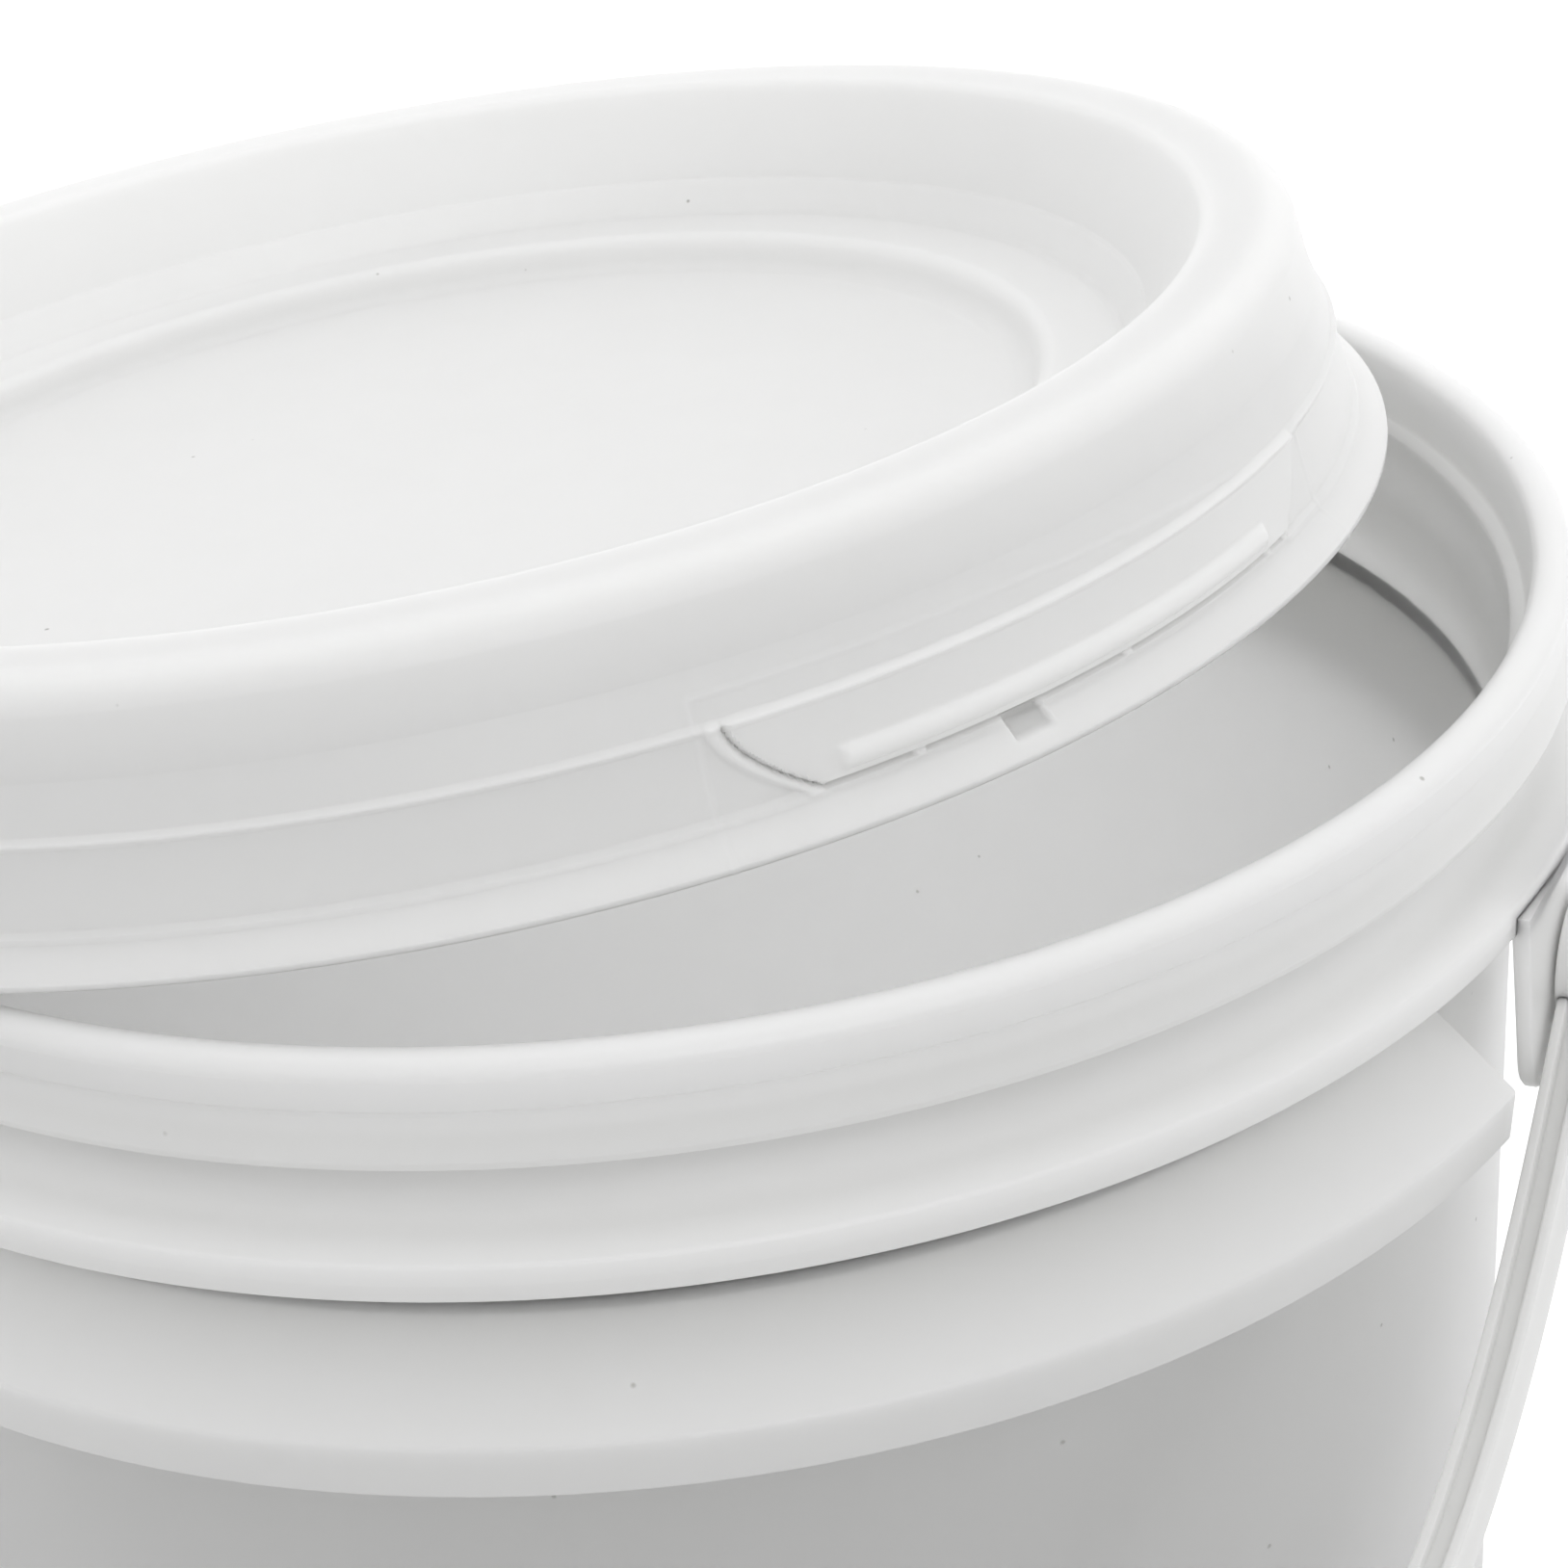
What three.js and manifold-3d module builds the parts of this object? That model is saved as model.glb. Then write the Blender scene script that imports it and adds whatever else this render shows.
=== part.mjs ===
// Water bucket with a tap: a one-piece moulded polypropylene bucket, its press-on lid lying askew
// on the rim, a strap handle hung in two ears, and a turning-plug tap low on the front.
// Millimetres, +Z up. The origin is the middle of the base's underside, on the bucket's axis.
// The tap faces -Y and the ears lie on the X axis.

import * as THREE from 'three';
import { mergeVertices } from 'three/addons/utils/BufferGeometryUtils.js';
import Module from 'manifold-3d';

const wasm = await Module();
wasm.setup();

// Bucket wall and base
const bucketHeight = 250;
const wallThickness = 1.9;
const wallTaper = 0.03;
const baseRadius = 123.4;
const baseThickness = 2.4;
const baseCornerRadius = 5;
const footRingWidth = 8;
const basePadRadius = 24;
const baseRelief = 1.4;

// Rim, from the top down
const rimOverhang = 3.5;
const beadHalfWidth = 2.8;
const beadHeight = 2.4;
const mouthBandDepth = 9.8;
const mouthBandStep = 1.2;
const bandStepDepth = 6.6;
const bandStep = 0.5;
const snapRidgeProud = 3.5;
const snapRidgeDepth = 14.2;
const snapSkirtThickness = 2.2;
const snapGrooveDepth = 10;
const snapRidgeSeat = 2;
const mouthLip = 0.6;
const neckInset = 2.8;
const ringProud = 6.6;
const ringTopDepth = 24.8;
const ringBottomDepth = 30;
const ringSkin = 2.2;
const ringWebDepth = 6;

// Collar under the ring, cut away around each ear
const collarProud = 3;
const collarRootDepth = 36.4;
const collarEdgeDepth = 48.3;
const collarBottomDepth = 56;
const collarDraft = 0.8;
const collarSkin = 2;
const collarRootSkin = 2.6;
const collarNotchHalfWidth = 28;

// Ears, the handle's pivot and the handle's strap
const earThickness = 2.4;
const earTopHalfWidth = 21;
const earBottomHalfWidth = 16.5;
const earBottomDepth = 57.5;
const earCornerRadius = 9;
const earCornerEase = 0.9;
const pivotDepth = 43.9;
const pegRadius = 4.2;
const pegClearance = 0.35;
const pegHeadLip = 1.6;
const pegHeadThickness = 2.2;
const pegSlotWidth = 1.8;
const hubRadius = 9.5;
const handleGap = 0.5;
const strapSetback = 0.4;
const strapDepth = 5.5;
const strapBreadth = 11;
const strapFlange = 1.7;
const strapGroove = 1.4;
const gripAboveTap = 46;
const handleSquareness = 3.2;

// Lid
const lidOverhang = 9;
const lidFlangeLip = 0.8;
const lidHeight = 34.6;
const lidSkin = 1.6;
const lowRidgeInset = 4.4;
const lowRidgeHeight = 4.9;
const highRidgeInset = 6.2;
const highRidgeHeight = 16;
const ridgeProud = 0.5;
const ridgeEase = 0.7;
const shoulderInset = 8.4;
const shoulderHeight = 22.8;
const crownInset = 13;
const crownWidth = 11;
const crownRound = 5;
const crownInnerRound = 3;
const crownUnderEase = 1.4;
const ledgeBeyondRim = 8.1;
const ledgeWithinRim = 3.3;
const ledgeEase = 1.2;
const ledgeHeight = 15.2;
const panelStep = 2.6;
const panelHeight = 10;
const lidShift = 35.5;
const lidHeadingDegrees = 166.4;

// Tear strip in the lid's skirt
const tearMiddleDegrees = -22;
const tearHalfSpanDegrees = 21.2;
const tearSlotHeight = 4.6;
const tearSlotWidth = 0.9;
const tearBridgeDegrees = [-33.8, -19.9, -6.2];
const tearBridgeWidth = 1.6;
const tearEndSlitWidth = 2;
const tearEndSlitLean = 4;
const tearEndSlitStages = 6;
const tearEndSlitCurve = 1.6;
const gripRibHeight = 8.2;
const gripRibProud = 1.3;
const gripRibHalfHeight = 1.1;
const gripRibHalfSpanDegrees = 16;
const gripWindowDegrees = -27.6;
const gripWindowWidth = 5.5;
const gripWindowHeight = 3.4;

// Tap
const tapHeight = 38;
const shankRadius = 13;
const shankBoreRadius = 7.5;
const shankClearance = 0.5;
const bossMargin = 4;
const bossProud = 0.5;
const washerThickness = 2.5;
const washerWidth = 6;
const flangeThickness = 3;
const flangeRadius = 19.5;
const nutThickness = 9;
const nutAcrossFlats = 38;
const shankTail = 3;
const neckLength = 9;
const tapNeckRadius = 10.5;
const housingRadius = 12.5;
const housingHeight = 27;
const plugBoreRadius = 8;
const plugClearance = 0.4;
const plugPortRadius = 4.4;
const outletBoreRadius = 5;
const spoutWall = 2.2;
const spoutLength = 16;
const spoutTaper = 0.9;
const oRingSection = 0.95;
const oRingPlay = 0.12;
const oRingOffset = 8.6;
const plugShoulderRadius = 10.5;
const plugShoulderThickness = 2.2;
const leverStemHeight = 3.5;
const leverLength = 44;
const leverWidth = 11;
const leverWaist = 7;
const leverThickness = 5.5;

// Gap left between pieces that touch, and the ease on moulded edges
const seatGap = 0.3;
const edgeEase = 0.6;
const roundSides = 48;
const smallSides = 24;

const white = { color: 0xe6e6e5, roughness: 0.32, metalness: 0 };
const lidWhite = { color: 0xf1f1f0, roughness: 0.36, metalness: 0 };
const handleWhite = { color: 0xdcdcdb, roughness: 0.35, metalness: 0 };
const tapWhite = { color: 0xe9e8e4, roughness: 0.3, metalness: 0 };
const rubberBlack = { color: 0x262627, roughness: 0.75, metalness: 0 };

const radians = THREE.MathUtils.degToRad;
const point = (x, y) => new THREE.Vector2(x, y);

// Points along an elliptical arc, both ends included
function arc(centreX, centreY, halfWidth, halfHeight, startDegrees, endDegrees, steps) {
  const points = [];
  for (let i = 0; i <= steps; i += 1) {
    const angle = radians(startDegrees + ((endDegrees - startDegrees) * i) / steps);
    points.push(point(centreX + halfWidth * Math.cos(angle), centreY + halfHeight * Math.sin(angle)));
  }
  return points;
}

function solidOf(geometry) {
  const bare = geometry.clone();
  bare.deleteAttribute('normal');
  bare.deleteAttribute('uv');
  const merged = mergeVertices(bare, 1e-4);
  return new wasm.Manifold(new wasm.Mesh({
    numProp: 3,
    vertProperties: merged.attributes.position.array,
    triVerts: Uint32Array.from(merged.index.array),
  }));
}

function geometryOf(solid) {
  const mesh = solid.getMesh();
  const geometry = new THREE.BufferGeometry();
  geometry.setAttribute('position', new THREE.BufferAttribute(new Float32Array(mesh.vertProperties), 3));
  geometry.setIndex(new THREE.BufferAttribute(new Uint32Array(mesh.triVerts), 1));
  geometry.computeVertexNormals();
  return geometry;
}

// Solid of revolution about Z; the outline runs up the outside and back down the inside
function turned(outline, sides = roundSides) {
  const geometry = new THREE.LatheGeometry(outline, sides);
  geometry.rotateX(Math.PI / 2);
  return solidOf(geometry);
}

function ring(innerRadius, outerRadius, low, high, sides = roundSides) {
  return turned([
    point(innerRadius, low),
    point(outerRadius, low),
    point(outerRadius, high),
    point(innerRadius, high),
    point(innerRadius, low),
  ], sides);
}

// Round bar from start to end, wider at one end if two radii are given
function bar(start, end, radius, endRadius = radius, sides = smallSides) {
  const along = new THREE.Vector3().subVectors(end, start);
  const geometry = new THREE.CylinderGeometry(endRadius, radius, along.length(), sides);
  const turn = new THREE.Quaternion();
  turn.setFromUnitVectors(new THREE.Vector3(0, 1, 0), along.clone().normalize());
  geometry.applyQuaternion(turn);
  const middle = new THREE.Vector3().addVectors(start, end).multiplyScalar(0.5);
  geometry.translate(middle.x, middle.y, middle.z);
  return solidOf(geometry);
}

function block(low, high) {
  const geometry = new THREE.BoxGeometry(high.x - low.x, high.y - low.y, high.z - low.z);
  geometry.translate((low.x + high.x) / 2, (low.y + high.y) / 2, (low.z + high.z) / 2);
  return solidOf(geometry);
}

function at(x, y, z) {
  return new THREE.Vector3(x, y, z);
}

// Upright pie slice about the Z axis
function slice(startDegrees, endDegrees, reach, low, high) {
  const shape = new THREE.Shape();
  shape.moveTo(0, 0);
  for (const corner of arc(0, 0, reach, reach, startDegrees, endDegrees, 6)) {
    shape.lineTo(corner.x, corner.y);
  }
  const geometry = new THREE.ExtrudeGeometry(shape, { depth: high - low, bevelEnabled: false });
  geometry.translate(0, 0, low);
  return solidOf(geometry);
}

function named(name, solid, finish) {
  const mesh = new THREE.Mesh(geometryOf(solid), new THREE.MeshStandardMaterial(finish));
  mesh.name = name;
  return mesh;
}

// Height of a point that lies so far below the top of the rim
const below = (depth) => bucketHeight - depth;
const wallOutside = (z) => baseRadius + wallTaper * z;
const wallInside = (z) => wallOutside(z) - wallThickness;

// Radii that follow the wall, so that rim, collar and lid grow with the bucket
const rimRadius = wallOutside(bucketHeight) + rimOverhang;
const bandRadius = rimRadius + beadHalfWidth;
const snapRidgeRadius = rimRadius + snapRidgeProud;
const neckRadius = rimRadius - neckInset;
const ringRadius = rimRadius + ringProud;
const collarRadius = ringRadius + collarProud;

const beadCentre = below(beadHeight);
const pivotHeight = below(pivotDepth);
const ringInside = ringRadius - ringSkin;

// Bucket

// Wall, base, bead, snap band, neck and ring in one outline
function shellOutline() {
  const ringBottom = below(ringBottomDepth);
  const ringTop = below(ringTopDepth);
  const neckTop = below(snapRidgeDepth + snapRidgeSeat);
  const webRoot = neckTop - ringWebDepth;
  const mouthEdge = below(mouthBandDepth);
  const mouthRadius = rimRadius - beadHalfWidth - mouthLip;
  const footInside = baseRadius - baseCornerRadius - footRingWidth;
  return [
    point(0, 0),
    point(basePadRadius, 0),
    point(basePadRadius + baseRelief, baseRelief),
    point(footInside - baseRelief, baseRelief),
    point(footInside, 0),
    ...arc(baseRadius - baseCornerRadius, baseCornerRadius, baseCornerRadius, baseCornerRadius, -90, 0, 4),
    point(wallOutside(webRoot), webRoot),
    point(ringInside - edgeEase, ringTop - ringSkin),
    point(ringInside, ringTop - ringSkin - edgeEase),
    point(ringInside + edgeEase / 2, ringBottom),
    point(ringRadius - edgeEase, ringBottom),
    point(ringRadius, ringBottom + edgeEase),
    ...arc(ringRadius, neckTop, ringRadius - neckRadius, neckTop - ringTop, 270, 180, 5),
    point(neckRadius + mouthLip, below(snapRidgeDepth)),
    point(neckRadius + 2 * mouthLip, below(snapGrooveDepth)),
    point(snapRidgeRadius - snapSkirtThickness, below(snapGrooveDepth)),
    point(snapRidgeRadius - snapSkirtThickness, below(snapRidgeDepth)),
    point(snapRidgeRadius - edgeEase, below(snapRidgeDepth)),
    point(snapRidgeRadius, below(snapRidgeDepth - 2 * edgeEase)),
    point(bandRadius - bandStep, below(bandStepDepth + edgeEase)),
    point(bandRadius, below(bandStepDepth)),
    ...arc(rimRadius, beadCentre, beadHalfWidth, beadHeight, 0, 180, 6),
    point(mouthRadius, mouthEdge),
    point(wallInside(mouthEdge - mouthBandStep), mouthEdge - mouthBandStep),
    ...arc(
      wallInside(baseThickness + baseCornerRadius) - baseCornerRadius + wallThickness,
      baseThickness + baseCornerRadius - wallThickness,
      baseCornerRadius - wallThickness,
      baseCornerRadius - wallThickness,
      0,
      -90,
      3,
    ),
    point(0, baseThickness),
  ];
}

function collar() {
  const root = wallInside(below(collarRootDepth)) + wallThickness / 2;
  const outline = [
    point(root, below(collarRootDepth + collarRootSkin)),
    point(collarRadius - collarSkin, below(collarEdgeDepth + collarSkin)),
    point(collarRadius - collarDraft - collarSkin, below(collarBottomDepth)),
    point(collarRadius - collarDraft, below(collarBottomDepth)),
    point(collarRadius, below(collarEdgeDepth)),
    point(root, below(collarRootDepth)),
    point(root, below(collarRootDepth + collarRootSkin)),
  ];
  const notch = block(
    at(-2 * collarRadius, -collarNotchHalfWidth, 0),
    at(2 * collarRadius, collarNotchHalfWidth, bucketHeight),
  );
  return turned(outline).subtract(notch);
}

// Tongue that hangs from the ring, with the hole for the handle's peg
function ear(side) {
  const top = below(ringTopDepth + ringSkin) - pivotHeight;
  const bottom = pivotDepth - earBottomDepth;
  const cornerInset = earCornerRadius * earCornerEase;
  const shape = new THREE.Shape();
  shape.moveTo(-earTopHalfWidth, top);
  shape.lineTo(-earBottomHalfWidth, bottom + earCornerRadius);
  shape.quadraticCurveTo(-earBottomHalfWidth + edgeEase, bottom, -earBottomHalfWidth + cornerInset, bottom);
  shape.lineTo(earBottomHalfWidth - cornerInset, bottom);
  shape.quadraticCurveTo(earBottomHalfWidth - edgeEase, bottom, earBottomHalfWidth, bottom + earCornerRadius);
  shape.lineTo(earTopHalfWidth, top);
  const geometry = new THREE.ExtrudeGeometry(shape, {
    depth: earThickness,
    bevelEnabled: false,
    curveSegments: 5,
  });
  geometry.applyMatrix4(new THREE.Matrix4().makeBasis(at(0, 1, 0), at(0, 0, 1), at(1, 0, 0)));
  geometry.translate(ringRadius - earThickness, 0, pivotHeight);
  const holeRadius = pegRadius + pegClearance;
  const hole = bar(at(ringRadius - 10, 0, pivotHeight), at(ringRadius + 10, 0, pivotHeight), holeRadius);
  const plate = solidOf(geometry).subtract(hole);
  return side > 0 ? plate : plate.rotate([0, 0, 180]);
}

// Flat round boss that the tap's washers seal against
const bossRadius = shankRadius + washerWidth + bossMargin;
const bossFront = -(wallOutside(tapHeight) + bossProud);
const bossBack = -(Math.sqrt(wallInside(tapHeight - bossRadius) ** 2 - bossRadius ** 2) - bossProud);

function bucket() {
  const boss = bar(at(0, bossFront, tapHeight), at(0, bossBack, tapHeight), bossRadius, bossRadius, 32);
  const hole = bar(
    at(0, bossFront - 5, tapHeight),
    at(0, bossBack + 5, tapHeight),
    shankRadius + shankClearance,
  );
  return turned(shellOutline())
    .add(collar())
    .add(ear(1))
    .add(ear(-1))
    .add(boss)
    .subtract(hole);
}

// Handle

const handleInside = ringRadius + handleGap + strapSetback;
const handleHalfWidth = handleInside + strapDepth;

// The grip's lower inside edge rests against the front wall, over the tap
const gripHeight = tapHeight + gripAboveTap;
const gripWall = wallOutside(gripHeight) + seatGap;
const gripEdgeReach = Math.hypot(pivotHeight - gripHeight, gripWall);
const handleReach = Math.sqrt(gripEdgeReach ** 2 - (strapBreadth / 2) ** 2) + strapDepth;

// Half of a rounded square: straight near the pivots, round across the grip
class HandleCurve extends THREE.Curve {
  getPoint(t, target = new THREE.Vector3()) {
    const angle = Math.PI * t;
    const power = 2 / handleSquareness;
    const halfWidth = handleHalfWidth - strapDepth / 2;
    const reach = handleReach - strapDepth / 2;
    const across = Math.sign(Math.cos(angle)) * Math.abs(Math.cos(angle)) ** power;
    return target.set(halfWidth * across, 0, -reach * Math.abs(Math.sin(angle)) ** power);
  }
}

// I-shaped section: a flange along each edge and a groove along each face
function strapSection() {
  const half = strapBreadth / 2;
  const edge = strapDepth / 2;
  const web = half - strapGroove;
  const rib = edge - strapFlange;
  const shape = new THREE.Shape();
  shape.moveTo(-half, -edge);
  shape.lineTo(half, -edge);
  shape.lineTo(half, -rib - 0.3);
  shape.lineTo(web, -rib);
  shape.lineTo(web, rib);
  shape.lineTo(half, rib + 0.3);
  shape.lineTo(half, edge);
  shape.lineTo(-half, edge);
  shape.lineTo(-half, rib + 0.3);
  shape.lineTo(-web, rib);
  shape.lineTo(-web, -rib);
  shape.lineTo(-half, -rib - 0.3);
  return shape;
}

// Disc against the ear, with a split peg and head that snap through it
function pegEnd() {
  const earInside = ringRadius - earThickness;
  const face = ringRadius + handleGap;
  const headTop = earInside - handleGap;
  const disc = bar(at(face, 0, 0), at(handleHalfWidth, 0, 0), hubRadius, hubRadius - 0.6);
  const peg = bar(at(headTop - pegHeadThickness, 0, 0), at(face + 1, 0, 0), pegRadius);
  const head = bar(
    at(headTop - pegHeadThickness, 0, 0),
    at(headTop, 0, 0),
    pegRadius - 0.6,
    pegRadius + pegHeadLip,
  );
  const slot = block(
    at(headTop - pegHeadThickness - 1, -pegSlotWidth / 2, -hubRadius),
    at(earInside + earThickness / 2, pegSlotWidth / 2, hubRadius),
  );
  return disc.add(peg.add(head).subtract(slot));
}

function handle() {
  const strap = solidOf(new THREE.ExtrudeGeometry(strapSection(), {
    steps: 32,
    bevelEnabled: false,
    extrudePath: new HandleCurve(),
  }));
  const end = pegEnd();
  return strap.add(end).add(end.rotate([0, 0, 180]));
}

// Lean from straight down at which the inside of the grip meets the front wall
function handleLean() {
  const edgeAngle = Math.atan2(strapBreadth / 2, handleReach - strapDepth);
  return edgeAngle + Math.asin(gripWall / gripEdgeReach);
}

// Lid, in its own frame: the flange's lower edge lies at height 0

const lidFlangeRadius = rimRadius + lidOverhang;
const lowRidgeRadius = lidFlangeRadius - lowRidgeInset;
const highRidgeRadius = lidFlangeRadius - highRidgeInset;
const shoulderRadius = lidFlangeRadius - shoulderInset;
const crownRadius = lidFlangeRadius - crownInset;
const crownInnerRadius = crownRadius - crownWidth;

// The ledge lies over the far side of the rim, and the panel hangs inside it
const restRadius = rimRadius - lidShift;
const ledgeOuterRadius = restRadius + ledgeBeyondRim;
const ledgeInnerRadius = restRadius - ledgeWithinRim;
const panelRadius = ledgeInnerRadius - panelStep;
const stepLean = panelStep / (ledgeHeight - panelHeight);
const stepSkin = lidSkin * (Math.hypot(1, stepLean) - stepLean);

// Line of the lid's underside from the skirt's foot to the middle
function lidUnderside() {
  return [
    point(lidFlangeRadius - lidSkin, 0),
    point(lowRidgeRadius - lidSkin, lowRidgeHeight),
    point(highRidgeRadius - lidSkin, highRidgeHeight),
    point(shoulderRadius - lidSkin, shoulderHeight),
    point(crownRadius, lidHeight - lidSkin - crownUnderEase),
    point(crownRadius - 2 * crownUnderEase, lidHeight - lidSkin),
    point(crownInnerRadius + 2 * lidSkin, lidHeight - lidSkin),
    point(crownInnerRadius + lidSkin, lidHeight - 2 * lidSkin),
    point(ledgeOuterRadius + lidSkin / 2, ledgeHeight - lidSkin),
    point(ledgeInnerRadius + stepSkin, ledgeHeight - lidSkin),
    point(panelRadius + stepSkin, panelHeight - lidSkin),
    point(0, panelHeight - lidSkin),
  ];
}

function lidOutline() {
  return [
    point(lidFlangeRadius, 0),
    point(lidFlangeRadius, lidFlangeLip),
    point(lowRidgeRadius + ridgeEase, lowRidgeHeight - ridgeProud),
    point(lowRidgeRadius + ridgeProud, lowRidgeHeight),
    point(lowRidgeRadius, lowRidgeHeight + ridgeEase),
    point(highRidgeRadius, highRidgeHeight - ridgeEase),
    point(highRidgeRadius + ridgeProud, highRidgeHeight),
    point(highRidgeRadius - ridgeProud / 2, highRidgeHeight + ridgeEase),
    point(shoulderRadius, shoulderHeight),
    ...arc(crownRadius - lidSkin, lidHeight - crownRound, crownRound, crownRound, 10, 90, 4),
    ...arc(
      crownInnerRadius + crownInnerRound,
      lidHeight - crownInnerRound,
      crownInnerRound,
      crownInnerRound,
      90,
      160,
      3,
    ),
    point(ledgeOuterRadius, ledgeHeight + ledgeEase),
    point(ledgeOuterRadius - ledgeEase, ledgeHeight),
    point(ledgeInnerRadius, ledgeHeight),
    point(panelRadius, panelHeight),
    point(0, panelHeight),
    ...lidUnderside().reverse(),
    point(lidFlangeRadius, 0),
  ];
}

// Slots, window and end slits that free the tear strip, and the rib that a finger pulls on
function tearStrip(body) {
  const inside = highRidgeRadius - 3 * lidSkin;
  const reach = lidFlangeRadius + 10;
  const start = tearMiddleDegrees - tearHalfSpanDegrees;
  const end = tearMiddleDegrees + tearHalfSpanDegrees;
  const bandLow = tearSlotHeight - tearSlotWidth / 2;
  const bandHigh = tearSlotHeight + tearSlotWidth / 2;
  const degreesOf = (length) => THREE.MathUtils.radToDeg(length / lowRidgeRadius);
  const wedge = (first, last) => slice(first, last, 2 * reach, 0, lidHeight);
  let cut = ring(inside, reach, bandLow, bandHigh)
    .intersect(wedge(start + tearEndSlitLean, end - tearEndSlitLean));
  for (const middle of tearBridgeDegrees) {
    const half = degreesOf(tearBridgeWidth) / 2;
    cut = cut.subtract(wedge(middle - half, middle + half));
  }
  const windowHalf = degreesOf(gripWindowWidth) / 2;
  const window = ring(inside, reach, bandLow, bandLow + gripWindowHeight)
    .intersect(wedge(gripWindowDegrees - windowHalf, gripWindowDegrees + windowHalf));
  cut = cut.add(window);
  const slitHalf = degreesOf(tearEndSlitWidth) / 2;
  const rise = (highRidgeHeight - tearSlotHeight) / tearEndSlitStages;
  for (const [foot, lean] of [[start + tearEndSlitLean, -1], [end - tearEndSlitLean, 1]]) {
    for (let i = 0; i < tearEndSlitStages; i += 1) {
      const share = i / (tearEndSlitStages - 1);
      const middle = foot + lean * tearEndSlitLean * share ** tearEndSlitCurve;
      const low = bandLow + rise * i - tearSlotWidth / 4;
      const step = ring(inside, reach, low, bandLow + rise * (i + 1))
        .intersect(wedge(middle - slitHalf, middle + slitHalf));
      cut = cut.add(step);
    }
  }
  const ribRoot = (lowRidgeRadius + highRidgeRadius) / 2 - lidSkin / 2;
  const rib = turned([
    point(ribRoot, gripRibHeight - gripRibHalfHeight),
    point(lowRidgeRadius + gripRibProud, gripRibHeight - gripRibHalfHeight / 2),
    point(lowRidgeRadius + gripRibProud, gripRibHeight + gripRibHalfHeight / 2),
    point(ribRoot, gripRibHeight + gripRibHalfHeight),
    point(ribRoot, gripRibHeight - gripRibHalfHeight),
  ]).intersect(wedge(
    tearMiddleDegrees - gripRibHalfSpanDegrees,
    tearMiddleDegrees + gripRibHalfSpanDegrees,
  ));
  return body.add(rib).subtract(cut);
}

// How the lid lies: the ledge rests on the far side of the rim, and the flange's lower edge
// crosses the rim on both sides of the mouth.
const lidHeading = radians(lidHeadingDegrees);

function lidTilt() {
  const flange = lidFlangeRadius - lidSkin / 2;
  const crossing = (rimRadius ** 2 - flange ** 2 + lidShift ** 2) / (2 * lidShift);
  return Math.atan2(ledgeHeight - lidSkin, rimRadius - crossing);
}

function lidTurn() {
  const axis = at(-Math.sin(lidHeading), Math.cos(lidHeading), 0);
  return new THREE.Quaternion().setFromAxisAngle(axis, lidTilt());
}

// Lowest height of the lid's frame at which no point of its underside enters the rim's bead
function lidRestHeight() {
  const turn = lidTurn();
  const shift = at(lidShift * Math.cos(lidHeading), lidShift * Math.sin(lidHeading), 0);
  const line = [point(lidFlangeRadius, 0), ...lidUnderside()];
  const sweep = 360;
  const parts = 24;
  let height = 0;
  for (let i = 0; i < line.length - 1; i += 1) {
    for (let j = 0; j <= parts; j += 1) {
      const spot = line[i].clone().lerp(line[i + 1], j / parts);
      for (let k = 0; k < sweep; k += 1) {
        const angle = (2 * Math.PI * k) / sweep;
        const place = at(spot.x * Math.cos(angle), spot.x * Math.sin(angle), spot.y);
        place.applyQuaternion(turn).add(shift);
        const offset = (Math.hypot(place.x, place.y) - rimRadius) / beadHalfWidth;
        if (Math.abs(offset) < 1) {
          height = Math.max(height, beadCentre + beadHeight * Math.sqrt(1 - offset ** 2) - place.z);
        }
      }
    }
  }
  return height + seatGap;
}

// Tap, in the tap's own frame: the shank runs along Y at height 0

const washerFront = bossFront - seatGap;
const flangeBack = washerFront - washerThickness - seatGap;
const flangeFront = flangeBack - flangeThickness;
const plugAxis = flangeFront - neckLength - housingRadius;
const housingTop = housingHeight / 2;
const outletTop = -housingTop + 3;
const spoutEnd = -housingTop - spoutLength;
const innerWasherBack = bossBack + seatGap + washerThickness;
const nutFront = innerWasherBack + seatGap;
const nutBack = nutFront + nutThickness;
const shankEnd = nutBack + shankTail;
const plugRadius = plugBoreRadius - plugClearance;

function tapBody() {
  const outletRadius = outletBoreRadius + spoutWall;
  const spout = bar(
    at(0, plugAxis, spoutEnd),
    at(0, plugAxis, 1 - housingTop),
    outletRadius,
    outletRadius + spoutTaper,
  );
  const outside = bar(at(0, plugAxis, 0), at(0, shankEnd, 0), tapNeckRadius)
    .add(bar(at(0, flangeBack, 0), at(0, shankEnd, 0), shankRadius))
    .add(bar(at(0, flangeFront, 0), at(0, flangeBack, 0), flangeRadius - 1, flangeRadius, 32))
    .add(bar(at(0, plugAxis, -housingTop), at(0, plugAxis, housingTop), housingRadius))
    .add(spout);
  const bores = bar(at(0, plugAxis, outletTop), at(0, plugAxis, housingTop + 1), plugBoreRadius)
    .add(bar(at(0, plugAxis, spoutEnd - 1), at(0, plugAxis, outletTop + 1), outletBoreRadius))
    .add(bar(at(0, plugAxis, 0), at(0, flangeBack, 0), plugPortRadius + 0.4))
    .add(bar(at(0, flangeBack - 1, 0), at(0, shankEnd + 1, 0), shankBoreRadius));
  return outside.subtract(bores);
}

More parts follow.
